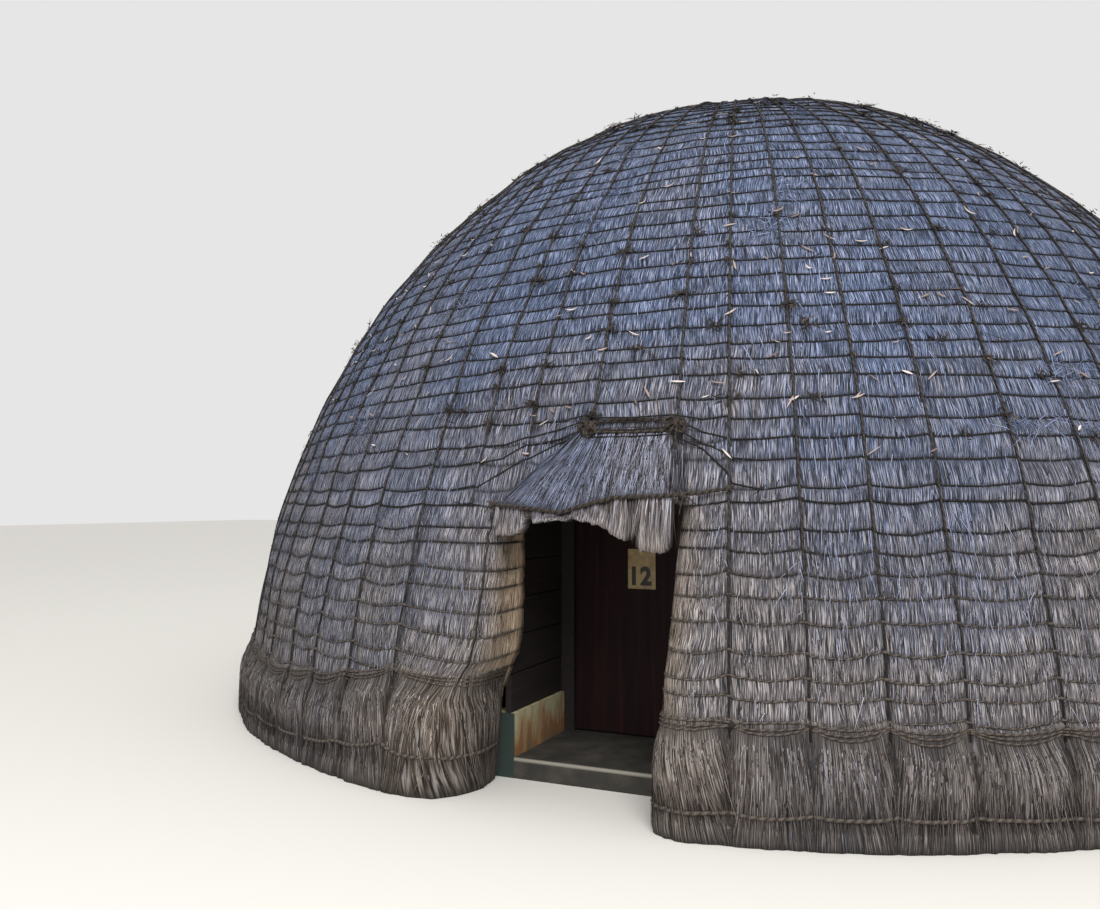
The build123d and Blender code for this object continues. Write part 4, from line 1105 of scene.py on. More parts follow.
# both are hitched to some of the uprights
seamSpots = np.flatnonzero(np.diff(skirtCell)) + 1.0
hitchSets = [onSkirt(line, seamSpots[chance.uniform(0, 1, len(seamSpots)) < skirt["hitchShare"]])
             for line in (bandLine, footLine)]
skirtHitchSpot, skirtHitchOut = [np.concatenate(part) for part in zip(*hitchSets)]
skirtHitchUp = unit(np.array([0, 0, 1.0]) - skirtHitchOut * skirtHitchOut[:, 2:])
skirtHitchSize = np.repeat(skirt["hitchSizes"], [len(part[0]) for part in hitchSets], 0)
skirtHitchSize *= chance.uniform(0.7, 1.3, skirtHitchSize.shape)
skirtLumps = lumps(skirtHitchSpot, skirtHitchOut, skirtHitchUp, skirtHitchSize)
ropePiece("skirtHitches", [skirtLumps], uprightRopeSkin)
bandRopes = ropePiece("bandRopes", [bandTubes], bandRopeSkin)
footRope = ropePiece("footRope", [footTubes], bandRopeSkin)
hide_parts("skirt_band")
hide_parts("foot_rope")
print("bands", len(bandTubes[0]) + len(footTubes[0]))

# Hood: loose grass gathered between two knots above the doorway and spread over its head; below it the
# fringe, cut to an uneven arch, hangs from a double rope.
hood = {
    "fanFoot": [-0.42, -0.15, 0.15, 0.575], "fanTop": [0.03, 0.08, 0.19, 0.560], "topLevel": 2.055,
    "rightEdge": 0.575, "leftEdge": -0.42, "leftEase": (0.35, 6),
    "headX": [-0.43, -0.27, 0.0, 0.16, 0.30, 0.59, 0.66],
    "headZ": [1.615, 1.600, 1.568, 1.615, 1.650, 1.655, 1.665],
    "lift": [0.062, 0.070, 0.070, 0.062, 0.050, 0.036, 0.024], "inside": -0.02, "clump": 0.005,
    "rows": 9, "columns": 60, "clumpColumns": 3, "chartStep": (0.018, 0.05),
}
fringe = {
    "ends": (-0.40, 0.585), "columns": 84, "rows": 6, "thick": 0.09, "above": 0.01, "ragged": 0.008,
    "footX": [-0.40, -0.25, -0.22, -0.06, 0.12, 0.23, 0.30, 0.375, 0.455, 0.56, 0.60],
    "footZ": [1.465, 1.470, 1.530, 1.548, 1.548, 1.520, 1.475, 1.435, 1.395, 1.385, 1.43],
    "notch": 0.07, "notchFrom": 0.15, "topLift": 0.055, "slope": 0.20, "forward": 0.012, "clump": 0.020,
    "chartStep": (0.0124, 0.04),
}


def tufted(count):
    # a chance value at every third column, blended between
    places = np.arange(0, count + hood["clumpColumns"], hood["clumpColumns"])
    return np.interp(np.arange(count), places, chance.uniform(-1, 1, len(places)))


def sheetChart(grid, step, points, faceSets):
    # even steps along the columns and the rows
    row, column = np.indices(grid.shape[:2])
    return shellChart(corners(column) * step[0], corners(row) * step[1], points, faceSets)


def frontFace(x, z, lift):
    # a spot on the dome above or beside the doorway, by its x and height, lift metres out
    return domePoint(np.degrees(np.arcsin(x / np.interp(z, slopeUp, slopeAcross))), runAt(z), lift)


hoodShare = np.linspace(0, 1, hood["rows"])[:, None]
hoodPlace = np.linspace(0, 1, hood["columns"])
hoodHeadX = hood["leftEdge"] + (hood["rightEdge"] - hood["leftEdge"]) * hoodPlace
hoodTopX = np.interp(hoodHeadX, hood["fanFoot"], hood["fanTop"])     # its left part fans out from a knot
hoodHeadZ = np.interp(hoodHeadX, hood["headX"], hood["headZ"])
hoodX = hoodHeadX + (hoodTopX - hoodHeadX) * hoodShare
hoodZ = hoodHeadZ + (hood["topLevel"] - hoodHeadZ) * hoodShare
hoodClump = tufted(hood["columns"])
hoodLift = np.interp(hoodShare, np.linspace(0, 1, len(hood["lift"])), hood["lift"])
hoodLift = hoodLift * np.minimum(1, hood["leftEase"][0] + hood["leftEase"][1] * hoodPlace)
hoodLift = hoodLift + hood["clump"] * hoodClump
hoodGrid = frontFace(hoodX, hoodZ, hoodLift)
hoodFace = (hoodGrid, gridNormals(hoodGrid, False), False)
hoodPoints, hoodFaces = closedShell(hoodGrid, frontFace(hoodX, hoodZ, hood["inside"]))
# painted shade between the tufts, at the head of the doorway and under the upper rope; the hidden faces get
# dark painted shade all over
hoodRows = np.array([0.5] + [0.3] * (hood["rows"] - 2) + [0.9])[:, None]
hoodPaintedShade = np.maximum(-hoodClump, 0) * 0.9 + hoodRows
hoodGrass = makePiece("hoodGrass", hoodPoints, hoodFaces, thatchGrass, "thatch",
                      sheetChart(hoodGrid, hood["chartStep"], hoodPoints, hoodFaces), values={
    "pressed": np.concatenate([hoodPaintedShade.ravel(), np.full(hoodX.size, 1.5)]),
    "fresh": np.full(len(hoodPoints), 0.05)})
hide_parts("door_hood")

fringeX = np.linspace(*fringe["ends"], fringe["columns"])
fringeTop = np.interp(fringeX, hood["headX"], hood["headZ"]) + fringe["above"]
fringeRagged = chance.uniform(-fringe["ragged"], fringe["ragged"], len(fringeX))
fringeClump = tufted(fringe["columns"])
# its foot is notched between the tufts
fringeNotch = fringe["notch"] * np.maximum(-fringeClump - fringe["notchFrom"], 0)
fringeFoot = np.interp(fringeX, fringe["footX"], fringe["footZ"]) + fringeRagged + fringeNotch
fringeFoot = np.minimum(fringeFoot, fringeTop - 0.01)
fringeShare = np.linspace(0, 1, fringe["rows"])[:, None]
fringeLevel = fringeFoot + (fringeTop - fringeFoot) * fringeShare
fringeSpot = frontFace(fringeX, fringeTop, fringe["topLift"])
fringeY = (fringeSpot[:, 1] - fringe["slope"] * (fringeTop - fringeLevel)
           - (fringe["forward"] + fringe["clump"] * fringeClump) * (1 - fringeShare))
fringeGrid = np.stack([np.broadcast_to(fringeSpot[:, 0], fringeLevel.shape), fringeY, fringeLevel], -1)
fringePoints, fringeFaces = closedShell(fringeGrid, fringeGrid + [0, fringe["thick"], 0])
# painted shade under the head rope at its top, between the tufts and on its hidden faces
fringePaintedShade = np.interp(fringeShare, [0, 0.7, 1], [0.0, 0.1, 0.8]) + 1.2 * np.maximum(-fringeClump, 0)
fringeGrass = makePiece("fringeGrass", fringePoints, fringeFaces, thatchGrass, "thatch",
                        sheetChart(fringeGrid, fringe["chartStep"], fringePoints, fringeFaces), values={
    "pressed": np.concatenate([fringePaintedShade.ravel(), np.full(fringeLevel.size, 0.9)]),
    "fresh": np.full(len(fringePoints), 0.12)})
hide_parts("door_fringe")
print("hood and fringe")

# Stems of the hood, fanned out from its top, and of the fringe, hanging in bunches.
headPlan = {"hoodStems": 7500, "hoodLength": (0.10, 0.28), "hoodHeight": 0.45, "hoodStand": (0.002, 0.016),
            "fringeStems": 3000, "fringeDrop": (0.75, 1.12), "fringeEnds": (-0.405, 0.59),
            "fringeLift": 0.060, "width": (0.0016, 0.0042)}
hoodCount = headPlan["hoodStems"]
hoodSpot = chance.uniform(0.5, hood["columns"] - 1.5, hoodCount)
hoodFrom = chance.uniform(1.5, hood["rows"] - 1.2, hoodCount)
hoodReach = chance.uniform(*headPlan["hoodLength"], hoodCount) * (hood["rows"] - 1) / headPlan["hoodHeight"]
hoodAside = np.clip(hoodSpot + chance.normal(0, 0.9, hoodCount), 0, hood["columns"] - 1)
hoodRoots, hoodOut = spotOn(hoodFace, hoodFrom, hoodSpot, 0.002)
hoodTips, _ = spotOn(hoodFace, np.maximum(hoodFrom - hoodReach, 0.1), hoodAside)
hoodTips = hoodTips + hoodOut * chance.uniform(*headPlan["hoodStand"], hoodCount)[:, None]
hoodStems = stems(hoodRoots, hoodTips, hoodOut, chance.uniform(*headPlan["width"], hoodCount),
                  chance.beta(0.44, 0.50, hoodCount))
fringeCount = headPlan["fringeStems"]
tuftShare = np.cumsum(np.maximum(fringeClump + 0.25, 0.04))
bunchX = np.interp(chance.uniform(0, tuftShare[-1], fringeCount), tuftShare, fringeX)
stemX = np.clip(bunchX + chance.normal(0, 0.006, fringeCount), *headPlan["fringeEnds"])
stemTopZ = np.interp(stemX, hood["headX"], hood["headZ"]) - 0.002
stemFootZ = np.minimum(np.interp(stemX, fringe["footX"], fringe["footZ"]), stemTopZ - 0.01)
stemDrop = (stemTopZ - stemFootZ) * chance.uniform(*headPlan["fringeDrop"], fringeCount)
inward = chance.uniform(0, 1, fringeCount)
stemTop = frontFace(stemX, stemTopZ, headPlan["fringeLift"])
stemTop[:, 1] += inward * fringe["thick"] * 0.9
stemLean = (stemX - bunchX) * 0.8 + chance.normal(0, 0.06, fringeCount) * stemDrop
stemFoot = stemTop + np.stack([stemLean, -fringe["slope"] * stemDrop - 0.016 * (1 - inward), -stemDrop], -1)
forward = np.tile([[0.0, -1.0, 0.1]], (fringeCount, 1))
# stems set further in get painted shade
fringeStems = stems(stemTop, stemFoot, forward, chance.uniform(*headPlan["width"], fringeCount),
                    chance.beta(1.3, 1.3, fringeCount) * (1 - inward * 0.6))
headFresh = np.repeat([0.02, 0.12], [len(hoodStems[0]), len(fringeStems[0])])
stemPiece("looseStemsHead", [hoodStems, fringeStems], headFresh, "thatch")


def twisted(path, normal, gap, pitch, radius, sides=6):
    # two ropes laid round one another: each runs along a screw line about the path
    steps = np.linalg.norm(np.diff(path, axis=0), axis=-1)
    turn = np.concatenate([[0], np.cumsum(steps)]) / pitch * 2 * math.pi
    along = unit(np.gradient(path, axis=0))
    side = unit(np.cross(along, normal))
    pair = [path + gap * (np.cos(turn + start)[:, None] * side
                          + np.sin(turn + start)[:, None] * np.cross(side, along)) for start in (0, math.pi)]
    return tubes(np.array(pair), np.array([normal, normal]), radius, sides)


# The double rope over the fringe, two bowed strands that gather the hood, and knots: turns of rope about one
# spot, with loose ends.
headRope = {
    "ends": (-0.47, 0.90), "points": 90, "gap": 0.006, "pitch": 0.07, "radius": 0.0065,
    "x": [-0.47, -0.40, -0.27, 0.0, 0.16, 0.30, 0.59, 0.90],
    "z": [1.625, 1.612, 1.602, 1.572, 1.618, 1.652, 1.660, 1.722],
    "liftX": [-0.47, -0.40, -0.36, 0.60, 0.66, 0.72, 0.90],
    "lift": [0.02, 0.06, 0.073, 0.073, 0.055, 0.025, 0.014],
    "strandEnds": (0.05, 0.62), "strandPoints": 40, "strandRadius": 0.009,
    "strands": ((2.030, 0.040, -0.010), (2.085, 0.024, 0.012)),      # level, lift and bow
    "turnPoints": 16, "turnRadius": 0.0085, "tailPoints": 7, "tailRadius": 0.0055, "sides": 5,
    # x, z, lift, size, turns, ends and their drop
    "knots": ((0.085, 2.05, 0.045, 0.042, 9, 12, 0.11), (0.585, 2.055, 0.045, 0.045, 10, 14, 0.12),
              (-0.44, 1.62, 0.045, 0.022, 4, 3, 0.07), (0.655, 1.665, 0.05, 0.022, 4, 5, 0.10)),
}
headRopeX = np.linspace(*headRope["ends"], headRope["points"])
headPath = frontFace(headRopeX, np.interp(headRopeX, headRope["x"], headRope["z"]),
                     np.interp(headRopeX, headRope["liftX"], headRope["lift"]))
headParts = [twisted(headPath, unit(headPath * [1, 1, 0] + [0, 0, 1.2]), headRope["gap"], headRope["pitch"],
                     headRope["radius"])]
strandShare = np.linspace(0, 1, headRope["strandPoints"])
for level, lift, bow in headRope["strands"]:
    strandPath = frontFace(np.linspace(*headRope["strandEnds"], headRope["strandPoints"]),
                           level + bow * np.sin(strandShare * math.pi), lift)
    headParts.append(tubes(strandPath[None], unit(strandPath * [1, 1, 0] + [0, 0, 2.0])[None],
                           headRope["strandRadius"], 6))


def knot(x, z, lift, size, turns, ends, drop):
    # each turn is a tilted ring, squashed and shifted at random; each end a short curve that falls outward
    centre = frontFace(np.array([x]), np.array([z]), lift)[0]
    outward = unit(np.array([centre[0], centre[1], 2.0]))
    side = unit(np.cross([0, 0, 1.0], outward))
    up = np.cross(outward, side)
    wholeTurn = np.linspace(0, 2 * math.pi, headRope["turnPoints"], endpoint=False)[:, None]
    rings, tails = [], []
    for turn in range(turns):
        tilt, grow = chance.uniform(0, math.pi), chance.uniform(0.6, 1.1) * size
        first = side * math.cos(tilt) + up * math.sin(tilt)
        second = unit(np.cross(outward, first) + outward * chance.normal(0, 0.8))
        middle = centre + chance.normal(0, 0.25, 3) * size
        rings.append(middle + grow * (np.cos(wholeTurn) * first + 0.65 * np.sin(wholeTurn) * second))
    share = np.linspace(0, 1, headRope["tailPoints"])[:, None]
    for end in range(ends):
        away = unit(side * chance.normal(0, 0.8) + up * chance.normal(0.1, 0.8) + outward * 0.45)
        length = chance.uniform(0.6, 1.0) * drop
        fall = np.array([0, 0, -0.5]) * share ** 2
        tails.append(centre + outward * size * 0.4 + (away * share + fall) * length)
    rings, tails = np.array(rings), np.array(tails)
    ringOut = np.broadcast_to(outward, rings.shape)
    tailOut = np.broadcast_to(outward + [0.01, 0.02, 0.03], tails.shape)
    return [tubes(rings, ringOut, headRope["turnRadius"], headRope["sides"], True),
            tubes(tails, tailOut, headRope["tailRadius"], headRope["sides"],
                  taper=np.linspace(1, 0.5, headRope["tailPoints"]))]


for place in headRope["knots"]:
    headParts += knot(*place)
headRopes = ropePiece("headRopes", headParts, bandRopeSkin)
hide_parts("head_ropes")
print("hood ropes and knots")


# Crown: a low cap of grass bound down by a ring of rope, where the upright ropes are made fast.
crown = {"radii": [0.27, 0.27, 0.24, 0.19, 0.13, 0.07, 0.02], "columns": 60, "chartStep": (0.02, 0.05),
         "levels": [5.15, 5.205, 5.232, 5.244, 5.253, 5.262, 5.268],
         "ringRadii": (0.165, 0.1485), "ringLevel": 5.252, "ringPoints": 48, "ropeRadius": 0.0075}
crownTurn = np.arange(crown["columns"]) * 2 * math.pi / crown["columns"]
crownUneven = 1 + 0.04 * np.sin(crownTurn * 9 + 1) + 0.03 * np.sin(crownTurn * 23)
crownRadius = np.array(crown["radii"])[:, None] * crownUneven
crownGrid = turnedSpot(np.degrees(crownTurn), crownRadius, np.array(crown["levels"])[:, None])
crownPoints = crownGrid.reshape(-1, 3)
crownRow, crownColumn = [part.ravel() for part in np.indices(crownRadius.shape)]
crownFaces = [gridFaces(*crownRadius.shape, True), np.flatnonzero(crownRow == crownRow[-1])[None],
              np.arange(crown["columns"])[::-1][None]]
crownCorners = np.concatenate([faces.ravel() for faces in crownFaces])
crownChart = np.stack([crownColumn, crownRow], -1)[crownCorners] * crown["chartStep"]
makePiece("crownGrass", crownPoints, crownFaces, thatchGrass, "thatch", crownChart,
          values={"pressed": np.full(len(crownPoints), 0.2), "fresh": np.zeros(len(crownPoints))})
ringAngles = np.linspace(0, 360, crown["ringPoints"], endpoint=False)
ringPaths = turnedSpot(ringAngles, np.array(crown["ringRadii"])[:, None], crown["ringLevel"])
crownRope = ropePiece("crownRope", [tubes(ringPaths, np.broadcast_to([0.0, 0.0, 1.0], ringPaths.shape),
                                          crown["ropeRadius"], 6, True)], hoopRopeSkin)
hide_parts("crown_ring")
print("crown")

# Wind-blown litter caught on the ropes: dry leaves, twigs, and dark tufts of old grass.
litter = {"lowest": 1.9,
          "leaves": 720, "leafLength": (0.035, 0.10), "leafWidth": (0.003, 0.009),
          "leafCurl": (-0.004, 0.016),
          "leafStand": 0.015, "leafThick": 0.0012, "leafRings": 6, "leafReach": 0.6,
          "twigs": 320, "twigLength": (0.05, 0.22), "twigStand": 0.014, "twigBend": 0.10,
          "twigRadius": 0.0028,
          "twigTaper": [1.0, 0.9, 0.8, 0.65, 0.5], "twigReach": 0.8,
          "tufts": 640, "tuftStems": 19, "tuftSize": (0.03, 0.11), "tuftWidth": (0.0045, 0.0085),
          "tuftSpread": 0.021, "tuftHoops": (doorHoop + 3, hoopCount - 10), "atHitches": 0.65,
          "leafTones": ("#6a5751", "#a8968f", "#dcd0cc"), "twigTones": ("#0f0c0b", "#4a3a30")}


def onDome(count, topReach):
    # random spots of the upper dome, spread by area, with their normals
    runs = np.linspace(runAt(litter["lowest"]), slopeLength - topReach, 300)
    share = np.cumsum(acrossAt(runs))
    run = np.interp(chance.uniform(0, share[-1], count), share, runs)
    column = chance.uniform(0, len(columnCell), count)
    spot, outward = spotOn(domeFace, np.interp(run, meanRun, rowNumbers), column)
    return spot, unit(outward)


def leafShapes(spots, outward, heading, length, width, curl):
    # a long pointed blade: its half width a sine of the way along it, its middle line bent up at both ends
    rings = litter["leafRings"]
    share = np.linspace(0.02, 0.98, rings)
    down = unit(np.array([0, 0, -1.0]) + outward * outward[:, 2:3])
    across = np.cross(down, outward)
    ahead = down * np.cos(heading)[:, None] + across * np.sin(heading)[:, None]
    middle = (spots[:, None] + ahead[:, None] * ((share - 0.5) * length[:, None])[..., None]
              + outward[:, None] * (litter["leafStand"] + curl[:, None] * (2 * share - 1) ** 2)[..., None])
    half = np.cross(ahead, outward)[:, None] * (np.sin(share * math.pi) ** 0.8 * width[:, None])[..., None]
    thick = outward[:, None] * litter["leafThick"]
    ring = np.stack([middle + half, middle + thick, middle - half, middle - thick], 2)
    one = np.concatenate([gridFaces(rings, 4, True), [[3, 2, 1, 0]], [np.arange(4) + 4 * (rings - 1)]])
    faces = (one[None] + (np.arange(len(spots)) * 4 * rings)[:, None, None]).reshape(-1, 4)
    return ring.reshape(-1, 3), faces


leafSkin, tree = newMaterial("dry leaves")       # thin, matt, bleached pale pink to tan by the sun
finishMaterial(tree, ramp(tree, attribute(tree, "shade"), (0.0, 0.6, 1.0), litter["leafTones"]), 0.7, 1.45)
count = litter["leaves"]
leafSpot, leafOut = onDome(count, litter["leafReach"])
leafPoints, leafFaces = leafShapes(
    leafSpot, leafOut, chance.normal(math.pi / 2, 0.7, count), chance.uniform(*litter["leafLength"], count),
    chance.uniform(*litter["leafWidth"], count), chance.uniform(*litter["leafCurl"], count))
makePiece("dryLeaves", leafPoints, [leafFaces], leafSkin, "thatch",
          values={"shade": np.repeat(chance.uniform(0, 1, count), 4 * litter["leafRings"])})
# rough brown bark
twigSkin = noiseMaterial("fallen twigs, bark", (60.0,), (0.3, 0.8), litter["twigTones"], 0.85, 1.45)
count = litter["twigs"]
twigSpot, twigOut = onDome(count, litter["twigReach"])
twigAhead = unit(np.cross(twigOut, chance.normal(0, 1, (count, 3)) + [0, 0, 1.2]))
twigLength = chance.uniform(*litter["twigLength"], count)[:, None]
twigTaper = np.array(litter["twigTaper"])
twigShare = np.linspace(-0.5, 0.5, len(twigTaper))
twigPath = (twigSpot[:, None] + twigAhead[:, None] * (twigShare * twigLength)[..., None] + twigOut[:, None]
            * (litter["twigStand"] - litter["twigBend"] * twigShare ** 2 * twigLength)[..., None])
twigNormal = np.repeat(twigOut[:, None], len(twigTaper), 1)
twigTubes = tubes(twigPath, twigNormal, litter["twigRadius"], 4, taper=twigTaper)
ropePiece("twigs", [twigTubes], twigSkin, "thatch")
count, each = litter["tufts"], litter["tuftStems"]
tuftRow = rowOfHoop[chance.integers(*litter["tuftHoops"], count) - doorHoop].astype(float)
tuftColumn = chance.uniform(0, len(columnCell), count)
hitched = np.interp(np.floor(tuftColumn / len(columnShares)), columnPlace, columnNumbers)
hitched = hitched + chance.normal(0, 0.25, count)
tuftColumn = np.where(chance.uniform(0, 1, count) < litter["atHitches"], hitched, tuftColumn)
tuftSpot, tuftOut = [np.repeat(part, each, 0) for part in spotOn(domeFace, tuftRow, tuftColumn)]
tuftOut = unit(tuftOut)
tuftRoot = tuftSpot + chance.normal(0, litter["tuftSpread"], tuftSpot.shape) * [1, 1, 0.6] + tuftOut * 0.008
tuftSize = np.repeat(chance.uniform(*litter["tuftSize"], count), each)[:, None]
tuftWay = unit(chance.normal(0, 1, tuftSpot.shape))
tuftWay -= tuftOut * np.sum(tuftWay * tuftOut, 1, keepdims=True) * 0.75      # laid over by wind and rain
tuftTip = tuftRoot + (tuftWay * 0.8 + tuftOut * 0.12) * tuftSize
tuftStems = stems(tuftRoot, tuftTip, tuftOut, chance.uniform(*litter["tuftWidth"], len(tuftSpot)),
                  0.28 * chance.beta(0.45, 2.4, len(tuftSpot)))
stemPiece("grassTufts", [tuftStems], np.full(len(tuftStems[0]), 0.3), "thatch")
print("litter")


def dress(material, *names):
    # a better material in a CAD node's own slots
    for name in names:
        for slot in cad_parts[name].material_slots:
            slot.material = material


def barBetween(profile, start, end):
    # a closed bar: a profile of (x, z), carried along Y from start to end
    count = len(profile)
    points = [np.stack([profile[:, 0], np.full(count, y), profile[:, 1]], -1) for y in (start, end)]
    ends = [np.arange(count)[::-1][None], (np.arange(count) + count)[None]]
    return np.concatenate(points), [gridFaces(2, count, True)] + ends


# Passage: rough boards painted dark over limewashed plinths, a cement threshold worn smooth. The boards are
# made darker than their paint, as painted shade of the passage.
passage = {"inside": 0.52, "insets": (0, 0.004), "thick": 0.036, "front": -3.85, "back": -3.016, "foot": 0.38,
           "top": 1.75, "boardHeight": 0.228, "leastBoard": 0.1, "seam": 0.005, "edge": 0.006,
           "tones": ("#0b0808", "#1c1211", "#33211b")}
# saw marks and dirt along the grain, dull
boardSkin = noiseMaterial("sawn boards, dark stain and painted shade", (1.0, 4.0, 0.6), (0.3, 0.55, 0.85),
                          passage["tones"], 0.75, stretch=(40, 2.5, 70), bump=(0.4, 0.002))


def boardWall(name, side, node):
    # boards laid on edge, one over another; each profile is a rectangle with its front corners eased
    edges = np.arange(passage["foot"], passage["top"] - passage["leastBoard"], passage["boardHeight"])
    edges = np.append(edges, passage["top"])
    parts = []
    for low, high in zip(edges + passage["seam"] / 2, edges[1:] - passage["seam"] / 2):
        inner = passage["inside"] + chance.uniform(*passage["insets"])
        outer, ease = passage["inside"] + passage["thick"], passage["edge"]
        profile = np.array([(inner, low + ease), (inner + ease, low), (outer, low), (outer, high),
                            (inner + ease, high), (inner, high - ease)]) * [side, 1]
        parts.append(barBetween(profile[::-1] if side > 0 else profile, passage["front"], passage["back"]))
    piece = makePiece(name, *joined(parts), boardSkin, "boards", smooth=False)
    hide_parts(node)


boardWall("boardsLeft", -1, "board_wall_left")
boardWall("boardsRight", 1, "board_wall_right")
dress(boardSkin, "passage_ceiling", "door_frame")

# Door: brushed gloss paint gone dull, with faint upright strokes; its tones are darker than the maroon paint,
# as painted shade of the passage.
doorLooks = {"tones": ("#160708", "#220c0e", "#301315"), "grain": (28, 28, 1.2)}
doorSkin = noiseMaterial("oil-painted door, maroon", (1.0, 3.0), (0.3, 0.55, 0.8), doorLooks["tones"], 0.65,
                         stretch=doorLooks["grain"], more={"Specular IOR Level": 0.2})
dress(doorSkin, "door_leaf")

# Cement screed: trowelled, stained dark by feet, paler along a thin strip at its front edge.
cement = {"tones": ("#1f1d1a", "#2e2b26", "#45413a"), "lip": "#8b877c", "lipFrom": -3.825, "lipTo": -3.848,
          "lipFoot": 0.098, "lipTop": 0.110}
cementSkin, tree = newMaterial("trowelled cement, stained")
cloud = noise(tree, ownSpace(tree), 6.0, 6.0, 0.65)
lip = ranged(tree, axis(tree, "Y"), cement["lipFrom"], cement["lipTo"])
lipHeight = ranged(tree, axis(tree, "Z"), cement["lipFoot"], cement["lipTop"])
lipTone = mix(tree, combined(tree, "MULTIPLY", lip, lipHeight),
              ramp(tree, cloud, (0.3, 0.5, 0.75), cement["tones"]), cement["lip"])
finishMaterial(tree, lipTone, 0.8, normal=bumps(tree, cloud, 0.25, 0.002))
dress(cementSkin, "threshold_slab", "floor_slab")

# Limewash on plaster: chalky cream with rusty stains that run down it; the end is painted dark green.
lime = {"tones": ("#a8a382", "#8a6038", "#5c5a48"), "green": "#27332f", "greenFrom": -3.843}
limeSkin, tree = newMaterial("limewashed plaster, stained")
stain = noise(tree, stretched(tree, ownSpace(tree), (9, 9, 2.5)), 1.0, 4.0, 0.6)
wet = combined(tree, "ADD", stain, ranged(tree, axis(tree, "Z"), 0.36, 0.12, -0.12, 0.22))
end = combined(tree, "LESS_THAN", axis(tree, "Y"), lime["greenFrom"])
limeTone = mix(tree, end, ramp(tree, wet, (0.36, 0.58, 0.80), lime["tones"]), lime["green"])
finishMaterial(tree, limeTone, 0.9)
dress(limeSkin, "plinth_left", "plinth_right")

# Bare steel hinges and handles, brown with rust.
steelSkin = noiseMaterial("mild steel, rusted", (90.0, 3.0), (0.35, 0.7), ("#3a302b", "#6a4c38"), 0.6,
                          more={"Metallic": 0.6})
dress(steelSkin, "frame_hinges", "door_hinges", "door_handles")

# Number plate: cream enamel on steel, browned in clouds, with black numerals.
plate = {"x": 0.04, "z": 1.21, "front": -3.064, "proud": 0.0007, "digits": "12", "digitSize": 0.160,
         "digitDrop": -0.100, "digitSpread": 0.93, "digitGap": 1.12, "digitWeight": 0.007,
         "digitDepth": 0.0008}
plateSkin = noiseMaterial("cream enamel, aged", (22.0, 4.0), (0.3, 0.62), ("#8f7650", "#b39a6b"), 0.45)
dress(plateSkin, "number_plate")
blackSkin, tree = newMaterial("black enamel")
finishMaterial(tree, "#14110f", 0.4)
text = bpy.data.curves.new("digits", "FONT")
text.body = plate["digits"]
text.align_x = "CENTER"
text.size = plate["digitSize"]
text.offset = plate["digitWeight"]
text.extrude = plate["digitDepth"]
text.space_character = plate["digitGap"]
textObject = newObject("digits", text)
textMesh = bpy.data.meshes.new_from_object(textObject.evaluated_get(bpy.context.evaluated_depsgraph_get()))
bpy.data.objects.remove(textObject)
flat = np.empty(len(textMesh.vertices) * 3)
textMesh.vertices.foreach_get("co", flat)
digitX, digitY, digitZ = flat.reshape(-1, 3).T
# laid on the plate: its own up turned to +Z, its face to -Y
digitX = digitX - (digitX.min() + digitX.max()) / 2
placed = np.stack([digitX * plate["digitSpread"] + plate["x"], plate["front"] - plate["proud"] - digitZ,
                   digitY + plate["z"] + plate["digitDrop"]], -1)
textMesh.vertices.foreach_set("co", placed.ravel())
textMesh.materials.clear()
textMesh.materials.append(blackSkin)
numerals = newObject("numerals", textMesh)
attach(numerals, "door")
print("passage, door and plate")

# Bent poles inside: peeled saplings, upright ribs set in the floor and hoops tied to them. The lowest hoop
# is open at the doorway.
poles = {"ribRadius": 0.019, "hoopRadius": 0.016, "sides": 8, "ribs": 12, "firstRib": 15,
         "ribLevels": (0.12, 5.0), "ribPoints": 40, "gap": 0.004,
         "doorHoop": 0.86, "wholeHoops": [1.9, 2.7, 3.4, 4.0, 4.45],
         "doorHoopPoints": 90, "wholeHoopPoints": 96, "tones": ("#4a3524", "#6d5138", "#8a6c4c")}
# smooth brown wood, darker at the knots
poleSkin = noiseMaterial("peeled saplings", (7.0, 4.0), (0.3, 0.5, 0.75), poles["tones"], 0.7, 1.45)


def poleTubes(angle, level, radius, inset, closed=False):
    # poles on the inner face, inset metres further in, by their angles and heights
    bend = np.interp(level, insideUp, sweep)
    across, up = np.interp(bend, sweep, insideAcross), np.interp(bend, sweep, insideUp)
    nearer = 1 - inset / np.hypot(across, up)
    path = turnedSpot(angle, across * nearer, up * nearer)
    return tubes(path, unit(path * [1, 1, 0.7]), radius, poles["sides"], closed)


ribAngle = poles["firstRib"] + np.arange(poles["ribs"]) * 360 / poles["ribs"]
ribLevel = np.linspace(*poles["ribLevels"], poles["ribPoints"])
ribTubes = poleTubes(ribAngle[:, None], ribLevel[None], poles["ribRadius"], poles["ribRadius"] + poles["gap"])
ribPoles = ropePiece("ribPoles", [ribTubes], poleSkin, "poles")
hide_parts("frame_ribs")
hoopInset = 2 * poles["ribRadius"] + poles["hoopRadius"] + poles["gap"]
wholeTurn = np.linspace(0, 360, poles["wholeHoopPoints"], endpoint=False)
openTurn = np.linspace(poles["firstRib"], 360 - poles["firstRib"], poles["doorHoopPoints"])
hoopPoles = ropePiece("hoopPoles", [
    poleTubes(wholeTurn, np.array(poles["wholeHoops"])[:, None], poles["hoopRadius"], hoopInset, True),
    poleTubes(openTurn, np.array([[poles["doorHoop"]]]), poles["hoopRadius"], hoopInset)], poleSkin, "poles")
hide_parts("frame_hoops")
print("poles")


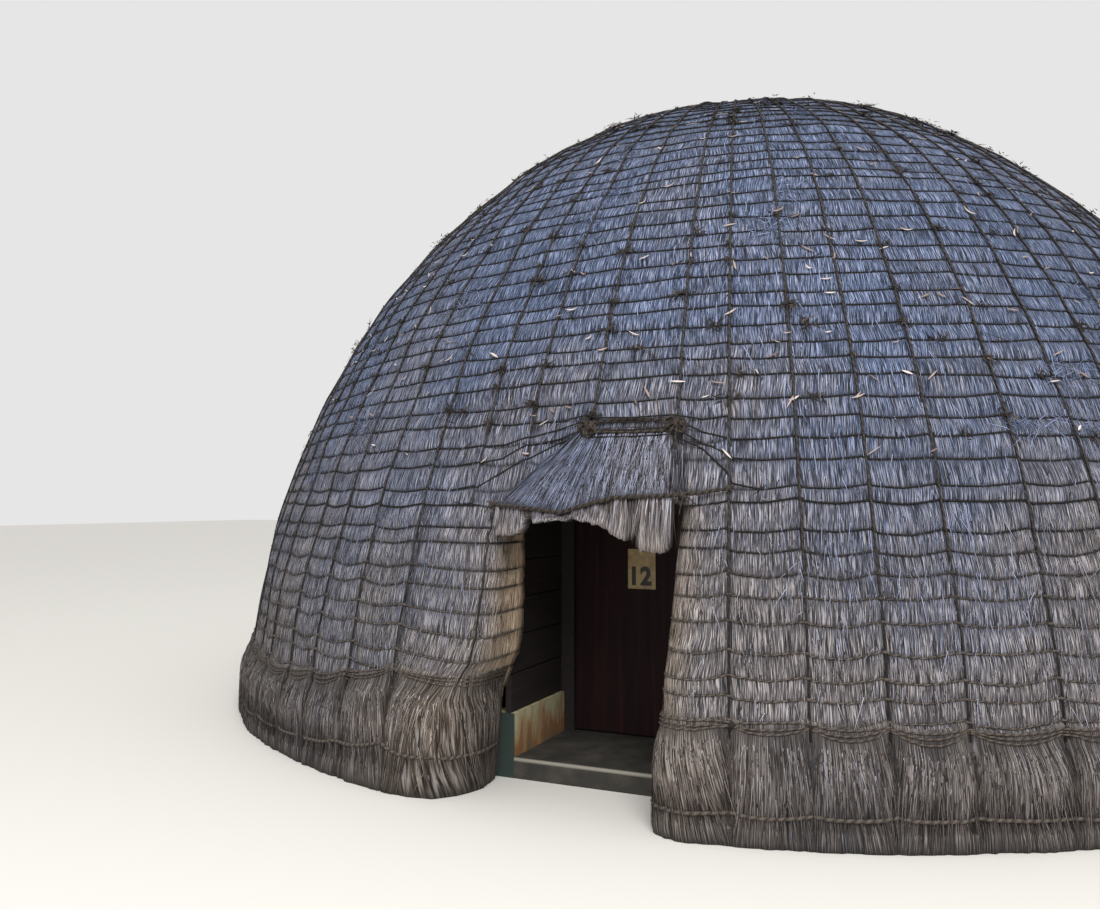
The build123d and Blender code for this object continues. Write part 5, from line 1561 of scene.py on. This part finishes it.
# Camera at the photograph's viewing angle.
cameraPlace = {"spot": (2.090, -9.013, 1.65), "pitch": 2.86, "heading": 24.5, "lens": 31.09, "sensor": 36}
cameraData = bpy.data.cameras.new("hutCamera")
cameraData.sensor_width = cameraPlace["sensor"]
cameraData.lens = cameraPlace["lens"]
camera = newObject("hutCamera", cameraData)
camera.location = cameraPlace["spot"]
camera.rotation_euler = (math.radians(90 + cameraPlace["pitch"]), 0, math.radians(cameraPlace["heading"]))
bpy.context.scene.camera = camera

# Plain pale floor, soft light from above and from the front, pale background.
stageLooks = {"floor": "#d6d3cd", "floorHalf": 60, "floorLevel": -0.001, "background": "#e6e6e6",
              "ambient": 1.0, "key": 2000, "keySize": 9.0, "keySpot": (5.0, -13.5, 11.5),
              "keyAim": (0, 0, 1.5)}
floorSkin, tree = newMaterial("pale floor")
finishMaterial(tree, stageLooks["floor"], 0.9)
floorMesh = bpy.data.meshes.new("paleFloor")
floorCorners = [(x * stageLooks["floorHalf"], y * stageLooks["floorHalf"], stageLooks["floorLevel"])
                for x, y in ((-1, -1), (1, -1), (1, 1), (-1, 1))]
floorMesh.from_pydata(floorCorners, [], [(0, 1, 2, 3)])
floorMesh.materials.append(floorSkin)
floor = newObject("paleFloor", floorMesh)
keyData = bpy.data.lights.new("softKey", "AREA")
keyData.shape = "DISK"
keyData.size = stageLooks["keySize"]
keyData.energy = stageLooks["key"]
key = newObject("softKey", keyData)
key.location = stageLooks["keySpot"]
aim = np.array(stageLooks["keyAim"]) - np.array(stageLooks["keySpot"])
key.rotation_euler = (math.atan2(math.hypot(aim[0], aim[1]), -aim[2]), 0,
                      math.atan2(aim[1], aim[0]) - math.pi / 2)
world = bpy.data.worlds.new("paleRoom")
world.use_nodes = True
bpy.context.scene.world = world
tree = world.node_tree
tree.nodes.clear()
ray = addNode(tree, "LightPath")
shown = combined(tree, "MAXIMUM", (ray, "Is Camera Ray"), (ray, "Is Glossy Ray"))
shown = combined(tree, "MAXIMUM", shown, (ray, "Is Transmission Ray"))
ambient = addNode(tree, "Background", {"Strength": stageLooks["ambient"]}, {"Color": "#ffffff"})
pale = addNode(tree, "Background", {"Strength": 1.0}, {"Color": stageLooks["background"]})
mixed = addNode(tree, "MixShader", None, {0: shown, 1: (ambient, 0), 2: (pale, 0)})
addNode(tree, "OutputWorld", None, {"Surface": (mixed, 0)})
bpy.context.scene.view_settings.view_transform = "Standard"
print("camera and light")
